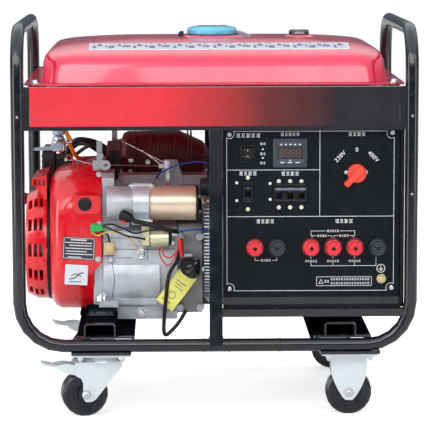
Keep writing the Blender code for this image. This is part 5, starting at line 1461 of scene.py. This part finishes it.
def make_swivel(tag):
    """The race of a swivelling caster, and its brake pedal's grip and cheeks."""
    plate = AT["caster_plate_" + tag]
    race = Shape()
    race.hoop((plate.x, plate.y, 101.4), UP, 29.5, 1.6, 40)
    race.finish(f"caster_race_{tag}", "bolt_zinc", "machine")
    along = Vector((-cos(CASTER_YAW), -sin(CASTER_YAW), 0))
    across = Vector((-sin(CASTER_YAW), cos(CASTER_YAW), 0))
    origin = Vector((plate.x, plate.y, 0))
    grip = Shape()
    for k in range(4):
        centre = origin + along * (104 - 5.5 * k) + Vector((0, 0, 97.4 - 1.2 * k))
        grip.rod(centre - across * 13, centre + across * 13, 1.0, 8)
    grip.finish(f"pedal_grip_{tag}", "zinc", "brake_" + tag)
    outline = ((50, 74), (50, 92), (66, 95), (83, 93), (80, 84), (68, 78))
    cheeks = Shape()
    for side in (-1, 1):
        cheeks.rings([[origin + along * a + across * (side * depth) + Vector((0, 0, b)) for a, b in outline]
                      for depth in (16.2, 17.8)])
    cheeks.finish(f"brake_cheeks_{tag}", "zinc", "brake_" + tag)


def make_casters():
    make_caster_bolts()
    for end in ("front", "rear"):
        make_wheel(end + "_left", f"fork_{end}_left", CASTER_YAW)
    for end in ("front", "rear"):
        make_wheel(end + "_right", "machine", 0.0)
    for end in ("front", "rear"):
        make_swivel(end + "_left")


# ---------------------------------------------------------------- alternator and rear

def make_alternator_details():
    """Laminations, tie bolts, adapter louvres, lugs, ribs and the output lead."""
    stator, bell = AT["stator"], AT["end_bell"]
    stack = Shape()
    radius = stator.y1
    sheet = [(radius - 1, 0), (radius + 0.9, 0.6), (radius + 0.9, 2.6), (radius - 1, 3.2)]
    for k in range(26):
        x = stator.x0 + 8 + 6.0 * k
        stack.turned((x, 0, CRANK_Z), RIGHT, sheet, 40)
    stack.finish("stator_stack", "core")
    ties = Shape()
    for k in range(4):
        turn = radians(45 + 90 * k)
        y, z = cos(turn) * (radius + 4.5), CRANK_Z + sin(turn) * (radius + 4.5)
        ties.rod((8, y, z), (bell.x0 + 28, y, z), 2.6, 12)
        ties.bolt((bell.x0 + 20, y, z), RIGHT, 9, 6, 6.5)
    ties.finish("alternator_ties", "bolt_zinc")
    louvres = Shape()
    for z in range(196, 364, 6):
        y = -sqrt(114 ** 2 - (z - CRANK_Z) ** 2)
        louvres.rod((-17, y * 0.985, z), (-3, y, z), 1.7, 8)
    louvres.finish("adapter_louvres", "alloy_bright")
    lugs = Shape()
    for k in range(4):
        turn = radians(45 + 90 * k)
        y, z = cos(turn) * (radius + 3), CRANK_Z + sin(turn) * (radius + 3)
        lugs.rod((bell.x0 + 1, y, z), (bell.x0 + 20, y, z), 7.5, 16)
        lugs.rod((-6, y, z), (18, y, z), 7.5, 16)
    for k in range(20):
        turn = 2 * pi * k / 20
        away = Vector((0, cos(turn), sin(turn)))
        base = Vector((bell.x1 - 0.6, 0, CRANK_Z))
        lugs.rod(base + away * 34, base + away * 86, 2.4, 8)
    lugs.hoop((bell.x1, 0, CRANK_Z), RIGHT, 32, 2.6, 36)
    lugs.hoop((bell.x1 - 1, 0, CRANK_Z), RIGHT, 88, 2.2, 44)
    lugs.finish("alternator_ribs", "alloy")
    lead = Shape()
    lead.hose(7, 14, (150, -60, 374), (140, -84, 392), (120, -104, 400), (110, -118, 396))
    lead.finish("output_lead", "wire_black")


def make_air_cleaner_details():
    """Clips and ribs on the air cleaner, and the carburettor's bowl screw and neck."""
    cleaner = AT["air_cleaner"]
    clips = Shape()
    for z in (cleaner.z0 + 24, cleaner.z1 - 24):
        clips.bar((-301, -285), (cleaner.y1 - 3, cleaner.y1 + 2.6), (z - 6, z + 6))
    clips.finish("air_cleaner_clips", "steel", bevel=0.6)
    ribs = Shape()
    for k in range(6):
        z = cleaner.z0 + 16 + 10 * k
        ribs.bar((cleaner.x0 - 1.6, cleaner.x0 + 2), (cleaner.y0 + 20, cleaner.y1 - 20), (z - 2, z + 2))
    ribs.finish("air_cleaner_ribs", "plastic", bevel=0.7)
    carb = Shape()
    carb.bolt((-178, 196, 368), DOWN, 9, 5)
    carb.turned((-150.5, 196, 392), RIGHT, [(18, 0), (18, 3), (13, 5), (13, 16)], 20)
    carb.finish("carburettor_details", "bolt_zinc")


def make_recoil_rope():
    """A short cord between the recoil cover and its grip."""
    grip = AT["recoil_grip"]
    cord = Shape()
    start = Vector((grip.x1 + 14, grip.y, grip.z))
    end = Vector((grip.x1 + 0.4, grip.y, grip.z))
    steps = 60
    cord.tube([start.lerp(end, k / steps) for k in range(steps + 1)], 2.0, 8)
    stretch_to(cord.finish("recoil_cord", "wire_black"))


def make_control_box_back():
    """Back screws and vent louvres on the control box."""
    box = AT["control_box"]
    screws = Shape()
    for x in (box.x0 + 14, box.x1 - 14):
        for z in (box.z0 + 30, box.z1 - 14):
            screws.screw((x, box.y1, z), BACK, 4, 2)
    screws.finish("box_screws", "bolt_zinc")
    louvres = Shape()
    section = ((-1, -1.5), (2.6, -1.5), (3.0, 0), (-1, 8.5))
    for k in range(6):
        z = 300 + 22 * k
        louvres.rings([[(box.x1 + dx, y, z + dz) for dx, dz in section] for y in (-206, -149)])
    louvres.finish("box_louvres", "frame_black")


# ---------------------------------------------------------------- stage

def make_floor():
    """A wide pale floor that glows a little for the camera."""
    mesh = bpy.data.meshes.new("floor")
    reach = 40.0
    corners = [(-reach, -reach, 0), (reach, -reach, 0), (reach, reach, 0), (-reach, reach, 0)]
    mesh.from_pydata(corners, [], [(0, 1, 2, 3)])
    floor = bpy.data.objects.new("floor", mesh)
    bpy.context.scene.collection.objects.link(floor)
    pale = look("floor_pale", "none", (250, 250, 250), 0.7, grain=0.05, grain_size=4, mottle=0.01, size=400,
                spread=0.05)
    seen = pale.node("ShaderNodeLightPath").outputs["Is Camera Ray"]
    pale.principled.inputs["Emission Color"].default_value = (1, 1, 1, 1)
    pale.feed(pale.principled.inputs["Emission Strength"], pale.maths("MULTIPLY", seen, 0.55))
    mesh.materials.append(pale.material)


def make_world():
    """White for the camera, a bright sky for reflections and a softer one for the lighting."""
    world = bpy.data.worlds.new("studio")
    bpy.context.scene.world = world
    world.use_nodes = True
    world.node_tree.nodes.clear()
    nodes = Nodes(world.node_tree)
    rays = nodes.node("ShaderNodeLightPath")
    split = nodes.node("ShaderNodeSeparateXYZ")
    nodes.feed(split.inputs[0], nodes.node("ShaderNodeTexCoord").outputs["Generated"])

    def graded(*stops):
        """A colour that changes with the height of the direction; each stop is a height and a colour."""
        ramp = nodes.node("ShaderNodeValToRGB")
        for element, (height, rgb) in zip(ramp.color_ramp.elements, stops):
            element.position = height
            element.color = (*rgb, 1)
        nodes.feed(ramp.inputs["Fac"], split.outputs["Z"])
        return ramp.outputs["Color"]

    def background(colour, strength):
        made = nodes.node("ShaderNodeBackground")
        nodes.feed(made.inputs["Color"], colour)
        made.inputs["Strength"].default_value = strength
        return made.outputs[0]

    def choose(ray, others, wanted):
        mix = nodes.node("ShaderNodeMixShader")
        nodes.feed(mix.inputs["Fac"], rays.outputs[ray])
        nodes.feed(mix.inputs[1], others)
        nodes.feed(mix.inputs[2], wanted)
        return mix.outputs[0]

    lit = background(graded((0.0, (0.55, 0.57, 0.60)), (0.7, (1, 1, 1))), 0.45)
    sky = background(graded((0.16, (0.07, 0.08, 0.10)), (0.62, (0.92, 0.97, 1.0))), 1.5)
    mirrored = choose("Is Glossy Ray", lit, sky)
    shown = choose("Is Camera Ray", mirrored, background((1, 1, 1, 1), 1.0))
    nodes.feed(nodes.node("ShaderNodeOutputWorld").inputs["Surface"], shown)


def make_lamps():
    """Soft studio lamps turned to the middle of the machine."""
    centre = Vector((0, 0, 0.36))
    for name, place, width, height, power in (
        ("key", (-1.5, -2.9, 2.3), 2.2, 1.4, 42),
        ("front", (0.9, -3.4, 2.2), 2.6, 1.2, 36),
        ("left_strip", (-2.4, -1.2, 0.9), 0.8, 1.8, 24),
        ("right_strip", (2.5, -1.4, 0.9), 0.4, 1.8, 14),
        ("top", (0, 0.4, 2.8), 2.2, 2.2, 15),
        ("back", (0.4, 3.0, 1.6), 2.4, 1.4, 30),
    ):
        light = bpy.data.lights.new(name, "AREA")
        light.shape = "RECTANGLE"
        light.size = width
        light.size_y = height
        light.energy = power
        lamp = bpy.data.objects.new(name, light)
        lamp.location = place
        lamp.rotation_mode = "QUATERNION"
        lamp.rotation_quaternion = (centre - Vector(place)).to_track_quat("-Z", "Y")
        lamp.visible_camera = False
        lamp.visible_glossy = name not in ("back", "top")
        bpy.context.scene.collection.objects.link(lamp)


def make_camera():
    """The photograph's long lens, a little left of the middle and looking down."""
    place = (-0.0786, -4.3366, 0.8726)
    yaw, pitch, roll = 0.0192, 0.1258, -0.0022
    ahead = Vector((sin(yaw) * cos(pitch), cos(yaw) * cos(pitch), -sin(pitch)))
    level = Vector((cos(yaw), -sin(yaw), 0))
    above = level.cross(ahead)
    right = level * cos(roll) + above * sin(roll)
    above = above * cos(roll) - level * sin(roll)
    data = bpy.data.cameras.new("camera")
    data.sensor_width = 36
    data.lens = 199.9
    camera = bpy.data.objects.new("camera", data)
    camera.matrix_world = Matrix.Translation(place) @ Matrix((right, above, -ahead)).transposed().to_4x4()
    scene = bpy.context.scene
    scene.collection.objects.link(camera)
    scene.camera = camera
    scene.view_settings.view_transform = "Standard"


make_looks()
dress_cad()
make_tank()
make_tank_trim()
make_cap()
make_panel_print()
make_panel_screws()
make_dial_text()
make_meter()
make_switch_marks()
make_post_details()
make_barrel_fins()
make_engine_block()
make_case_details()
make_starter_details()
make_muffler_details()
make_shroud_details()
make_fuel_line()
make_governor_links()
make_wiring()
make_tag()
make_frame_details()
make_mount_bolts()
make_casters()
make_alternator_details()
make_air_cleaner_details()
make_recoil_rope()
make_control_box_back()
make_floor()
make_world()
make_lamps()
make_camera()
